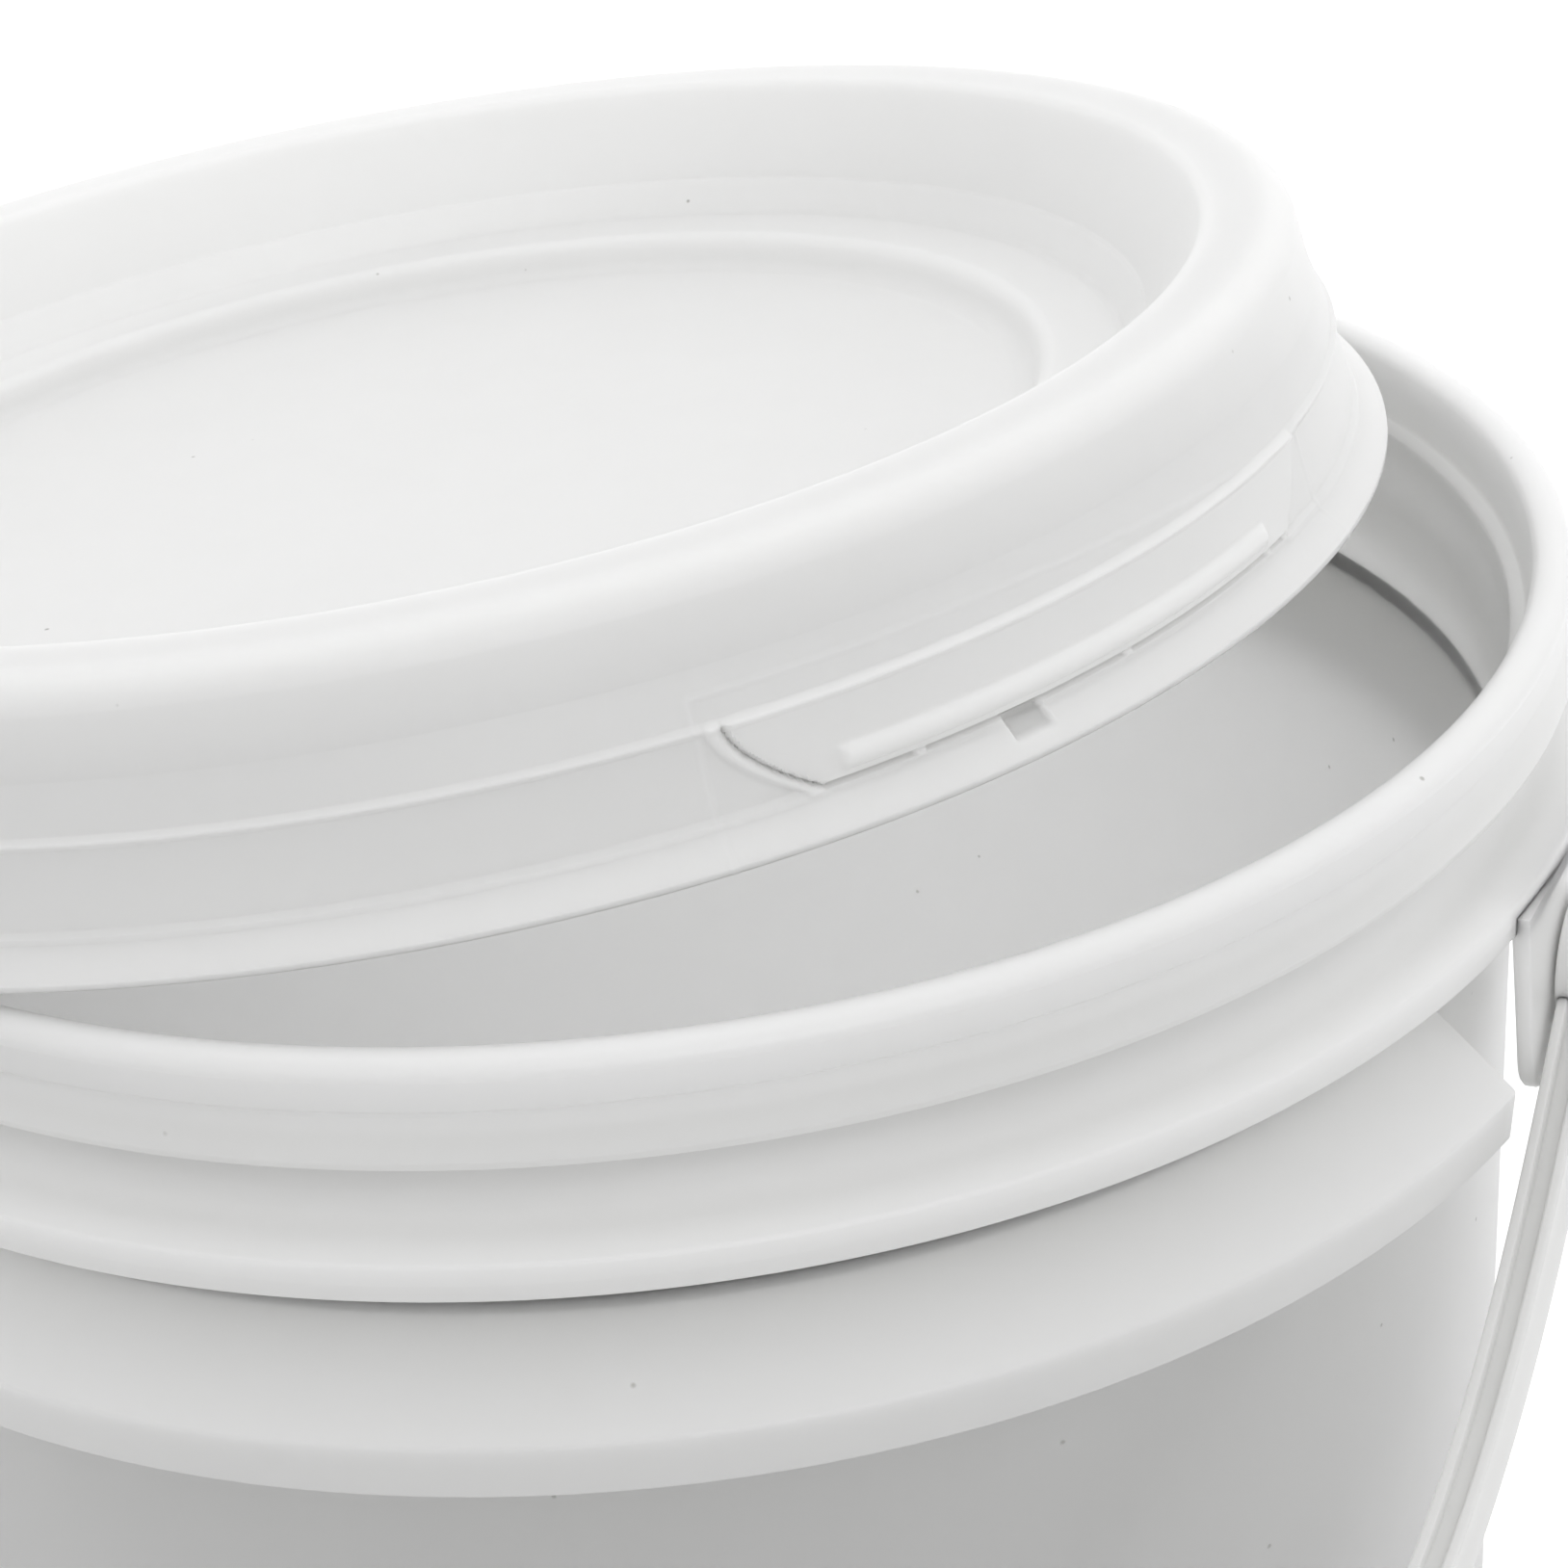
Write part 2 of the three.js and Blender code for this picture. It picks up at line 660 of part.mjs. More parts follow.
// Plug with its side port turned a quarter away from the inlet, so the tap is shut
function tapPlug() {
  const grooveRadius = plugBoreRadius - oRingPlay - 2 * oRingSection - 0.1;
  const grooveHalf = oRingSection + 0.12;
  const foot = outletTop + seatGap;
  const shoulder = housingTop + seatGap;
  const stemTop = shoulder + plugShoulderThickness + leverStemHeight;
  const leverTop = stemTop + leverThickness;
  const outline = [
    point(0, foot),
    point(plugRadius - 0.5, foot),
    point(plugRadius, foot + 0.5),
    point(plugRadius, -oRingOffset - grooveHalf),
    point(grooveRadius, -oRingOffset - grooveHalf),
    point(grooveRadius, -oRingOffset + grooveHalf),
    point(plugRadius, -oRingOffset + grooveHalf),
    point(plugRadius, oRingOffset - grooveHalf),
    point(grooveRadius, oRingOffset - grooveHalf),
    point(grooveRadius, oRingOffset + grooveHalf),
    point(plugRadius, oRingOffset + grooveHalf),
    point(plugRadius, shoulder),
    point(plugShoulderRadius, shoulder),
    point(plugShoulderRadius, shoulder + plugShoulderThickness - 0.6),
    point(plugShoulderRadius - 0.6, shoulder + plugShoulderThickness),
    point(plugRadius - 1, shoulder + plugShoulderThickness),
    point(plugRadius - 1.4, stemTop + 1),
    point(0, stemTop + 1),
  ];
  const halfLength = leverLength / 2;
  const halfWidth = leverWidth / 2;
  const shape = new THREE.Shape();
  shape.moveTo(-halfLength + halfWidth, -halfWidth);
  shape.quadraticCurveTo(0, -leverWaist / 2, halfLength - halfWidth, -halfWidth);
  shape.absarc(halfLength - halfWidth, 0, halfWidth, -Math.PI / 2, Math.PI / 2, false);
  shape.quadraticCurveTo(0, leverWaist / 2, -halfLength + halfWidth, halfWidth);
  shape.absarc(-halfLength + halfWidth, 0, halfWidth, Math.PI / 2, (3 * Math.PI) / 2, false);
  const bevel = 0.9;
  const wing = new THREE.ExtrudeGeometry(shape, {
    depth: leverThickness - 2 * bevel,
    bevelThickness: bevel,
    bevelSize: bevel,
    bevelOffset: -bevel,
    bevelSegments: 1,
    curveSegments: 5,
  });
  wing.translate(0, 0, leverTop - leverThickness + bevel);
  const port = bar(at(0, 0, 0), at(plugRadius + 1, 0, 0), plugPortRadius);
  const drop = bar(at(0, 0, foot - 1), at(0, 0, plugPortRadius), plugPortRadius);
  return turned(outline, smallSides).add(solidOf(wing)).subtract(port.add(drop));
}

function oRing() {
  const middle = plugBoreRadius - oRingPlay - oRingSection;
  return turned(arc(middle, 0, oRingSection, oRingSection, 0, 360, 6), smallSides);
}

function washer() {
  const inner = shankRadius + shankClearance;
  return ring(inner, shankRadius + washerWidth, 0, washerThickness, smallSides);
}

function backnut() {
  const corner = nutAcrossFlats / Math.sqrt(3);
  const shape = new THREE.Shape();
  for (let i = 0; i < 6; i += 1) {
    const angle = (Math.PI * i) / 3;
    shape[i === 0 ? 'moveTo' : 'lineTo'](corner * Math.cos(angle), corner * Math.sin(angle));
  }
  const geometry = new THREE.ExtrudeGeometry(shape, { depth: nutThickness, bevelEnabled: false });
  const bore = bar(at(0, 0, -1), at(0, 0, nutThickness + 1), shankRadius + shankClearance);
  return solidOf(geometry).subtract(bore);
}

// Assembly

const model = new THREE.Group();

model.add(named('bucket', bucket(), white));

const lidMesh = named('lid', tearStrip(turned(lidOutline())), lidWhite);
lidMesh.quaternion.copy(lidTurn());
lidMesh.position.set(lidShift * Math.cos(lidHeading), lidShift * Math.sin(lidHeading), lidRestHeight());
model.add(lidMesh);

const handleMesh = named('handle', handle(), handleWhite);
handleMesh.rotation.x = -handleLean();
handleMesh.position.z = pivotHeight;
model.add(handleMesh);

const tap = new THREE.Group();
tap.position.z = tapHeight;
tap.add(named('tap_body', tapBody(), tapWhite));

// Rings and washers are turned about Z, so those on the shank are laid over onto the Y axis
const onShank = [
  ['washer_outer', washer(), rubberBlack, washerFront],
  ['washer_inner', washer(), rubberBlack, innerWasherBack],
  ['backnut', backnut(), tapWhite, nutBack],
];
for (const [name, solid, finish, front] of onShank) {
  const mesh = named(name, solid, finish);
  mesh.rotation.x = Math.PI / 2;
  mesh.position.y = front;
  tap.add(mesh);
}

const plug = new THREE.Group();
plug.position.y = plugAxis;
plug.add(named('tap_plug', tapPlug(), tapWhite));
for (const [name, offset] of [['plug_o_ring_lower', -oRingOffset], ['plug_o_ring_upper', oRingOffset]]) {
  const mesh = named(name, oRing(), rubberBlack);
  mesh.position.z = offset;
  plug.add(mesh);
}
tap.add(plug);
model.add(tap);

export default model;
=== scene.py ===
# Looks of a moulded water bucket with its lid lying askew on the rim, a strap handle and a tap.
# Sizes are in millimetres and turn into metres where a mesh is made.

import math

import bmesh
import bpy
from mathutils import Matrix, Vector


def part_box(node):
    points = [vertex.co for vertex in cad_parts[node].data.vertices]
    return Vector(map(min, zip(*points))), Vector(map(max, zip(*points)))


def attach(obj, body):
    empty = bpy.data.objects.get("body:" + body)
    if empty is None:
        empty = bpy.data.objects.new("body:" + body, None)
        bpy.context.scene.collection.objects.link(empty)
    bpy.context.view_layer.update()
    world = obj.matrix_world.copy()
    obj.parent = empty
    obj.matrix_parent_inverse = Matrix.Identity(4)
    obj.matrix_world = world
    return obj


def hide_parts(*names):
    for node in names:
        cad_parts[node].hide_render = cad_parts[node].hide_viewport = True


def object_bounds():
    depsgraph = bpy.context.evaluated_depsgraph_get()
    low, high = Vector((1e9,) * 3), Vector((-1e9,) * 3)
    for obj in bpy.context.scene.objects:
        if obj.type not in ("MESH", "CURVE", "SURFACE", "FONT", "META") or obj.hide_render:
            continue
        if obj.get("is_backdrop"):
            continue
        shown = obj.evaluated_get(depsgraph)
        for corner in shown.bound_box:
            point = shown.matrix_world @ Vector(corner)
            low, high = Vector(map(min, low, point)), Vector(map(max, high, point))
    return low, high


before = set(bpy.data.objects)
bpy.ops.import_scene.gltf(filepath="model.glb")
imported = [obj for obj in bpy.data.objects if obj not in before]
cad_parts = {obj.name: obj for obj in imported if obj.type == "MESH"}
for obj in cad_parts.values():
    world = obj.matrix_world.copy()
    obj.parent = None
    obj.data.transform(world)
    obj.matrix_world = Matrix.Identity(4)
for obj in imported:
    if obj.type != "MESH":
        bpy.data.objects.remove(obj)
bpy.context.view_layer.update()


# Bucket: one injection moulding in white polypropylene, 250 mm tall, with a rolled bead, a snap
# ridge for the lid, a concave neck and a hollow ring under it, and a deep collar that stiffens
# the rim. Two flat ears hang from the ring, in notches of the collar, and carry the handle.

mm = 0.001
bucket_height = 250.0
base_radius = 123.4
wall_taper = 0.03
wall_thickness = 1.9
base_thickness = 2.4
foot_inner_radius = 110.4
pad_radius = 24.0
base_relief = 1.4
rim_overhang = 3.5
bead_half_width = 2.8
bead_height = 2.4
mouth_lip = 0.6
mouth_edge = 240.2
mouth_step = 1.2
band_step = 0.5
band_step_height = 243.2
snap_ridge_proud = 3.5
snap_skirt = 2.2
snap_bottom = 235.8
snap_groove_top = 240.0
neck_inset = 2.8
neck_top = 233.8
ring_proud = 6.6
ring_skin = 2.2
ring_top = 225.2
ring_bottom = 220.0
ring_web_root = 228.4
collar_proud = 3.0
collar_root = 213.6
collar_edge = 201.7
collar_bottom = 194.0
collar_skin = 2.0
collar_notch_half_width = 28.0
bucket_sides = 288
weld_distance = 0.0005
crease_degrees = 50


def wall_radius(height):
    """Outside of the tapered wall at a height."""
    return base_radius + wall_taper * height


rim_radius = wall_radius(bucket_height) + rim_overhang
ring_radius = rim_radius + ring_proud
neck_radius = rim_radius - neck_inset
snap_ridge_radius = rim_radius + snap_ridge_proud
collar_radius = ring_radius + collar_proud


def rounded(corners, steps=5):
    """Line through corners given as (x, y, fillet), each corner replaced by its fillet's arc."""
    line = []
    for i, (x, y, fillet) in enumerate(corners):
        here = Vector((x, y))
        if fillet == 0:
            line.append(here)
            continue
        back = Vector(corners[i - 1][:2]) - here
        ahead = Vector(corners[(i + 1) % len(corners)][:2]) - here
        half = back.angle(ahead) / 2
        reach = min(fillet / math.tan(half), 0.49 * back.length, 0.49 * ahead.length)
        toward = (back.normalized() + ahead.normalized()).normalized()
        centre = here + toward * reach / math.cos(half)
        first = here + back.normalized() * reach - centre
        last = here + ahead.normalized() * reach - centre
        start = math.atan2(first.y, first.x)
        turn = (math.atan2(last.y, last.x) - start + math.pi) % math.tau - math.pi
        for k in range(steps + 1):
            angle = start + turn * k / steps
            line.append(centre + first.length * Vector((math.cos(angle), math.sin(angle))))
    return line


def turned(line, angles, closed=True, offset=None):
    """Points and faces of a line of (radius, height) swept round the upright axis through angles
    in degrees. A whole turn joins up; a part turn gets flat ends. Offset moves points radially."""
    whole = angles[-1] - angles[0] > 359.9
    stations = angles[:-1] if whole else angles
    rows = len(line)
    points = []
    for degrees in stations:
        angle = math.radians(degrees)
        for i, (radius, height) in enumerate(line):
            if offset:
                radius += offset(i, degrees, height)
            points.append((radius * math.cos(angle), radius * math.sin(angle), height))
    faces = []
    joined = len(stations) if whole else len(stations) - 1
    for k in range(joined):
        near = k * rows
        far = (k + 1) % len(stations) * rows
        for i in range(rows if closed else rows - 1):
            j = (i + 1) % rows
            faces.append((near + i, far + i, far + j, near + j))
    if not whole:
        faces.append(tuple(range(rows)))
        faces.append(tuple(range((len(stations) - 1) * rows, len(stations) * rows)))
    return points, faces


def even(first, last, count):
    return [first + (last - first) * i / count for i in range(count + 1)]


def closed_shell(points, faces):
    """Mesh of one closed shell, in millimetres, its faces turned outward."""
    made = bmesh.new()
    corners = [made.verts.new(point) for point in points]
    for face in faces:
        made.faces.new([corners[i] for i in face])
    bmesh.ops.remove_doubles(made, verts=made.verts, dist=weld_distance)
    bmesh.ops.recalc_face_normals(made, faces=made.faces)
    mesh = bpy.data.meshes.new("shell")
    made.to_mesh(mesh)
    made.free()
    return mesh


def piece(name, shells, body, nodes, place=None):
    """One object from closed shells, which rides on a body."""
    made = bmesh.new()
    for shell in shells:
        mesh = shell if isinstance(shell, bpy.types.Mesh) else closed_shell(*shell)
        made.from_mesh(mesh)
        bpy.data.meshes.remove(mesh)
    if place:
        made.transform(place)
    made.transform(Matrix.Scale(mm, 4))
    mesh = bpy.data.meshes.new(name)
    made.to_mesh(mesh)
    made.free()
    mesh.shade_smooth()
    mesh.set_sharp_from_angle(angle=math.radians(crease_degrees))
    obj = bpy.data.objects.new(name, mesh)
    bpy.context.scene.collection.objects.link(obj)
    even_shading = obj.modifiers.new("even shading", "WEIGHTED_NORMAL")
    even_shading.keep_sharp = True
    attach(obj, body)
    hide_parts(*nodes)
    return obj


bead_centre = bucket_height - bead_height
band_radius = rim_radius + bead_half_width
mouth_radius = rim_radius - bead_half_width - mouth_lip
inside_radius = wall_radius(mouth_edge - mouth_step) - wall_thickness
bead = [
    (
        rim_radius + bead_half_width * math.cos(math.radians(angle)),
        bead_centre + bead_height * math.sin(math.radians(angle)),
        0,
    )
    for angle in even(8, 172, 14)
]
shell_line = rounded([
    (0, 0, 0),
    (pad_radius, 0, 0.5),
    (pad_radius + base_relief, base_relief, 0.5),
    (foot_inner_radius - base_relief, base_relief, 0.5),
    (foot_inner_radius, 0, 0.7),
    (base_radius, 0, 5),
    (wall_radius(ring_web_root), ring_web_root, 3),
    (ring_radius - ring_skin - 1, ring_top - ring_skin, 1.2),
    (ring_radius - ring_skin, ring_top - ring_skin - 1.2, 0.5),
    (ring_radius - 1.9, ring_bottom, 0.4),
    (ring_radius - 0.3, ring_bottom, 0.6),
    (ring_radius, ring_bottom + 2.6, 1.5),
    (ring_radius - 0.1, ring_top, 0.7),
    (neck_radius + 3.4, ring_top + 1.6, 5),
    (neck_radius + 0.2, neck_top - 2.6, 5),
    (neck_radius + 0.6, neck_top + 2, 0.4),
    (neck_radius + 1.4, snap_groove_top, 0.5),
    (snap_ridge_radius - snap_skirt, snap_groove_top, 0.5),
    (snap_ridge_radius - snap_skirt, snap_bottom, 0.3),
    (snap_ridge_radius - 0.6, snap_bottom, 0.5),
    (snap_ridge_radius, snap_bottom + 1.3, 0.7),
    (band_radius - band_step, band_step_height - 0.6, 0.6),
    (band_radius - band_step - 0.05, band_step_height, 0.2),
    (band_radius - 0.05, band_step_height + 0.4, 0.3),
    (band_radius - 0.25, bead_centre - 0.4, 0.3),
    *bead,
    (mouth_radius, mouth_edge, 0.8),
    (inside_radius, mouth_edge - mouth_step, 0.5),
    (base_radius - wall_thickness + 0.1, base_thickness, 4),
    (0, base_thickness, 0),
])
shells = []

collar_line = rounded([
    (wall_radius(collar_root) - wall_thickness / 2, collar_root - 2.6, 0),
    (collar_radius - collar_skin - 0.2, collar_edge - 1.4, 0.8),
    (collar_radius - 0.8 - collar_skin, collar_bottom, 0.4),
    (collar_radius - 0.8, collar_bottom, 0.5),
    (collar_radius, collar_edge, 0.9),
    (wall_radius(collar_root) - wall_thickness / 2, collar_root, 0),
])
notch = math.degrees(math.asin(collar_notch_half_width / collar_radius))
for middle in (90, 270):
    half_span = 90 - notch
    shells.append(turned(collar_line, even(middle - half_span, middle + half_span, 128)))

pivot_height = 206.1
ear_thickness = 2.4
ear_top = ring_top - ring_skin - pivot_height
ear_bottom = -13.6
ear_top_half_width = 21.0
ear_bottom_half_width = 16.5
ear_corner_radius = 7.0
ear_edge_ease = 0.5
ear_hole_radius = 4.55


def plate(outline, hole_radius, thickness, edge):
    """Flat plate with a round hole in it, its outline's edges eased, lying across the X axis."""
    count = len(outline)
    hole = []
    for corner in outline:
        angle = math.atan2(corner.y, corner.x)
        hole.append(hole_radius * Vector((math.cos(angle), math.sin(angle))))
    points = []
    faces = []
    loops = [
        (hole, 0, 0),
        (outline, 0, edge),
        (outline, edge, 0),
        (outline, thickness - edge, 0),
        (outline, thickness, edge),
        (hole, thickness, 0),
    ]
    for loop, depth, inset in loops:
        for corner in loop:
            along, up = corner * (1 - inset / corner.length)
            points.append((depth, along, up))
    for row in range(len(loops)):
        here = row * count
        there = (row + 1) % len(loops) * count
        for i in range(count):
            j = (i + 1) % count
            faces.append((here + i, here + j, there + j, there + i))
    return points, faces


ear_outline = []
ear_corners = rounded([
    (-ear_top_half_width, ear_top, 0),
    (-ear_bottom_half_width, ear_bottom, ear_corner_radius),
    (ear_bottom_half_width, ear_bottom, ear_corner_radius),
    (ear_top_half_width, ear_top, 0),
], steps=10)
ear_point_spacing = 1.5
for i, corner in enumerate(ear_corners):
    ahead = ear_corners[(i + 1) % len(ear_corners)]
    parts = max(1, round((ahead - corner).length / ear_point_spacing))
    ear_outline += [corner.lerp(ahead, k / parts) for k in range(parts)]
for side in (1, -1):
    points, faces = plate(ear_outline, ear_hole_radius, ear_thickness, ear_edge_ease)
    shells.append((
        [
            (side * (ring_radius - ear_thickness + depth), along, pivot_height + up)
            for depth, along, up in points
        ],
        faces,
    ))

tap_height = 38.0
boss_radius = 23.0
boss_proud = 0.5
shank_hole_radius = 13.5
boss_front = wall_radius(tap_height) + boss_proud
wall_behind_boss = wall_radius(tap_height - boss_radius) - wall_thickness
boss_back = math.sqrt(wall_behind_boss**2 - boss_radius**2) - boss_proud
across_tap = Matrix.Translation((0, 0, tap_height)) @ Matrix.Rotation(math.pi / 2, 4, "X")


def lying(points_and_faces):
    """Turns a shell about Z into one about the tap's shank; its height runs to the front."""
    points, faces = points_and_faces
    return [tuple(across_tap @ Vector(point)) for point in points], faces


boss_line = rounded([
    (shank_hole_radius, boss_back, 0.3),
    (boss_radius, boss_back, 0.3),
    (boss_radius, boss_front, 0.5),
    (shank_hole_radius, boss_front, 0.3),
], steps=3)
shells.append(lying(turned(boss_line, even(0, 360, 96))))
drill_play = 0.05
drill_radius = shank_hole_radius + drill_play
drill_back = 100.0
drill_front = 150.0
drill_line = [
    Vector(corner)
    for corner in (
        (0, drill_back), (drill_radius, drill_back), (drill_radius, drill_front), (0, drill_front)
    )
]
whole = closed_shell(*turned(shell_line, even(0, 360, bucket_sides), closed=False))
blank = bpy.data.objects.new("blank", whole)
drill = bpy.data.objects.new(
    "drill", closed_shell(*lying(turned(drill_line, even(0, 360, 96), closed=False)))
)
for tool in (blank, drill):
    bpy.context.scene.collection.objects.link(tool)
hole = blank.modifiers.new("hole for the shank", "BOOLEAN")
hole.object = drill
hole.operation = "DIFFERENCE"
hole.solver = "EXACT"
bpy.context.view_layer.update()
drilled = blank.evaluated_get(bpy.context.evaluated_depsgraph_get())
shells.append(bpy.data.meshes.new_from_object(drilled))
for tool in (blank, drill):
    bpy.data.objects.remove(tool)
bucket = piece("bucket_moulding", shells, "bucket_body", ["bucket"])


def linear(hex_colour):
    """sRGB hex colour as the linear values that a shader takes."""
    channels = [int(hex_colour[i:i + 2], 16) / 255 for i in (1, 3, 5)]
    curved = [c / 12.92 if c <= 0.04045 else ((c + 0.055) / 1.055) ** 2.4 for c in channels]
    return (*curved, 1.0)


def add(tree, kind, settings=None, links=None):
    """Adds a node with its settings, by property or socket name, and links outputs to it."""
    made = tree.nodes.new(kind)
    for key, value in (settings or {}).items():
        if isinstance(key, int) or key in made.inputs:
            made.inputs[key].default_value = value
        else:
            setattr(made, key, value)
    for key, output in (links or {}).items():
        tree.links.new(output, made.inputs[key])
    return made


def moulded_plastic(name, pale, deep, roughness, depth, speck_spacing=13 * mm):
    """White thermoplastic out of a polished mould: glossy and milky, with faint flow clouds, the
    orange peel and shallow sinks of moulding, fine rub marks and dust specks. Light goes so deep
    into it that it comes through a wall, and the specks are drawn coarser than real dust."""
    material = bpy.data.materials.new(name)
    material.use_nodes = True
    tree = material.node_tree
    tree.nodes.clear()
    spot = add(tree, "ShaderNodeTexCoord").outputs["Object"]
    cloud_size = 42 * mm
    rub_size = 5 * mm
    smoother, rougher = roughness - 0.02, roughness + 0.04
    sink_spacing = 55 * mm
    sink_depth = 0.12 * mm
    peel_grain = 1.3 * mm
    peel_depth = 0.006 * mm
    clouds = add(
        tree, "ShaderNodeTexNoise",
        {"Scale": 1 / cloud_size, "Detail": 3.0, "Roughness": 0.55}, {"Vector": spot},
    )
    tint = add(tree, "ShaderNodeValToRGB", links={"Fac": clouds.outputs["Fac"]})
    tint.color_ramp.elements[0].position = 0.36
    tint.color_ramp.elements[0].color = linear(deep)
    tint.color_ramp.elements[1].position = 0.62
    tint.color_ramp.elements[1].color = linear(pale)
    grains = add(tree, "ShaderNodeTexVoronoi", {"Scale": 1 / speck_spacing}, {"Vector": spot})
    speck_radius = 0.32 * mm / speck_spacing
    speck = add(tree, "ShaderNodeValToRGB", links={"Fac": grains.outputs["Distance"]})
    speck.color_ramp.elements[0].position = 0.6 * speck_radius
    speck.color_ramp.elements[0].color = linear("#b9b8b5")
    speck.color_ramp.elements[1].position = 1.4 * speck_radius
    speck.color_ramp.elements[1].color = linear("#ffffff")
    colour = add(tree, "ShaderNodeMix", {"data_type": "RGBA", "blend_type": "MULTIPLY", 0: 1.0})
    tree.links.new(tint.outputs["Color"], colour.inputs[6])
    tree.links.new(speck.outputs["Color"], colour.inputs[7])
    rubs = add(
        tree, "ShaderNodeTexNoise",
        {"Scale": 1 / rub_size, "Detail": 6.0, "Roughness": 0.65, "Distortion": 0.4}, {"Vector": spot},
    )
    worn = add(
        tree, "ShaderNodeMapRange",
        {"From Min": 0.35, "From Max": 0.75, "To Min": smoother, "To Max": rougher},
        {"Value": rubs.outputs["Fac"]},
    )
    sinks = add(tree, "ShaderNodeTexNoise", {"Scale": 1 / sink_spacing, "Detail": 1.0}, {"Vector": spot})
    sunk = add(
        tree, "ShaderNodeBump", {"Strength": 1.0, "Distance": sink_depth},
        {"Height": sinks.outputs["Fac"]},
    )
    peel = add(tree, "ShaderNodeTexNoise", {"Scale": 1 / peel_grain, "Detail": 2.0}, {"Vector": spot})
    skin = add(
        tree, "ShaderNodeBump", {"Strength": 1.0, "Distance": peel_depth},
        {"Height": peel.outputs["Fac"], "Normal": sunk.outputs["Normal"]},
    )
    plastic = add(
        tree, "ShaderNodeBsdfPrincipled",
        {
            "IOR": 1.49,
            "Subsurface Weight": 1.0,
            "Subsurface Radius": (1.0, 1.0, 1.0),
            "Subsurface Scale": depth,
        },
        {
            "Base Color": colour.outputs[2],
            "Roughness": worn.outputs["Result"],
            "Normal": skin.outputs["Normal"],
        },
    )
    add(tree, "ShaderNodeOutputMaterial", links={"Surface": plastic.outputs["BSDF"]})
    return material


bucket.data.materials.append(
    moulded_plastic("moulded polypropylene, polished", "#f8f8f7", "#f5f5f4", 0.3, 15 * mm)
)


# Rubber washers: flat rings punched from black sheet rubber, one on each side of the wall. They
# seal the shank's hole. The rubber is matt, with a fine grain and paler chalky dust on it.

seat_gap = 0.3
washer_thickness = 2.5
washer_inner_radius = 13.5
washer_outer_radius = 19.0
rubber = bpy.data.materials.new("black sheet rubber, matt")
rubber.use_nodes = True
tree = rubber.node_tree
tree.nodes.clear()
spot = add(tree, "ShaderNodeTexCoord").outputs["Object"]
grain_size = 0.8 * mm
grain_depth = 0.03 * mm
dust_patch = 9 * mm
grain = add(tree, "ShaderNodeTexNoise", {"Scale": 1 / grain_size, "Detail": 4.0}, {"Vector": spot})
dust = add(tree, "ShaderNodeTexNoise", {"Scale": 1 / dust_patch, "Detail": 5.0}, {"Vector": spot})
dusted = add(tree, "ShaderNodeValToRGB", links={"Fac": dust.outputs["Fac"]})
dusted.color_ramp.elements[0].position = 0.4
dusted.color_ramp.elements[0].color = linear("#242425")
dusted.color_ramp.elements[1].position = 0.8
dusted.color_ramp.elements[1].color = linear("#3a3a3b")
rough = add(tree, "ShaderNodeMapRange", {"To Min": 0.6, "To Max": 0.85}, {"Value": grain.outputs["Fac"]})
grained = add(
    tree, "ShaderNodeBump", {"Strength": 1.0, "Distance": grain_depth}, {"Height": grain.outputs["Fac"]}
)
surface = add(
    tree, "ShaderNodeBsdfPrincipled", {"IOR": 1.52},
    {
        "Base Color": dusted.outputs["Color"],
        "Roughness": rough.outputs["Result"],
        "Normal": grained.outputs["Normal"],
    },
)
add(tree, "ShaderNodeOutputMaterial", links={"Surface": surface.outputs["BSDF"]})

washer_front = boss_front + seat_gap
washer_back = boss_back - seat_gap - washer_thickness
for name, low in (("washer_outer", washer_front), ("washer_inner", washer_back)):
    washer_line = rounded([
        (washer_inner_radius, low, 0.3),
        (washer_outer_radius, low, 0.5),
        (washer_outer_radius, low + washer_thickness, 0.5),
        (washer_inner_radius, low + washer_thickness, 0.3),
    ], steps=4)
    washer = piece(
        name + "_rubber", [lying(turned(washer_line, even(0, 360, 96)))], "bucket_body", [name]
    )
    washer.data.materials.append(rubber)


# Tap body: one white moulding. A threaded shank goes through the wall, a flange presses the outer
# washer, and a short neck carries the upright housing for the plug, with the spout under it.

shank_radius = 13.0
shank_bore_radius = 7.5
bore_ease = 0.4
thread_pitch = 1.8
thread_depth = 0.9
thread_lead_in = 1.4
thread_crest = 1.35
thread_rows_per_turn = 8
flange_radius = 19.5
flange_thickness = 3.0
neck_length = 9.0
neck_outer_radius = 10.5
housing_radius = 12.5
housing_height = 27.0
plug_bore_radius = 8.0
inlet_radius = 4.8
bore_floor = 3.0
spout_radius = 7.2
spout_length = 16.0
outlet_radius = 5.0
nut_thickness = 9.0
shank_tail = 3.0

flange_back = washer_front + washer_thickness + seat_gap
flange_front = flange_back + flange_thickness
plug_axis = flange_front + neck_length + housing_radius
shank_end = washer_back - seat_gap - nut_thickness - shank_tail

thread_sides = 96
shank_root = shank_radius - 1
thread_rows = round((flange_back - shank_end) * thread_rows_per_turn / thread_pitch)
thread_points = []
for k in range(thread_sides):
    angle = math.tau * k / thread_sides
    line = [(shank_bore_radius + bore_ease, shank_end), (shank_radius - thread_depth - 0.6, shank_end)]
    for row in range(1, thread_rows):
        height = shank_end + (flange_back - shank_end) * row / thread_rows
        phase = (height / thread_pitch - k / thread_sides) % 1
        crest = min(1.0, thread_crest * (1 - abs(2 * phase - 1)))
        lead_in = min(1.0, (height - shank_end) / thread_lead_in)
        cut = thread_depth * (1 - crest * lead_in) + bore_ease * (1 - lead_in)
        line.append((shank_radius - cut, height))
    line += [
        (shank_root, flange_back),
        (shank_bore_radius, flange_back),
        (shank_bore_radius, shank_end + bore_ease),
    ]
    for radius, height in line:
        thread_points.append((radius * math.cos(angle), radius * math.sin(angle), height))
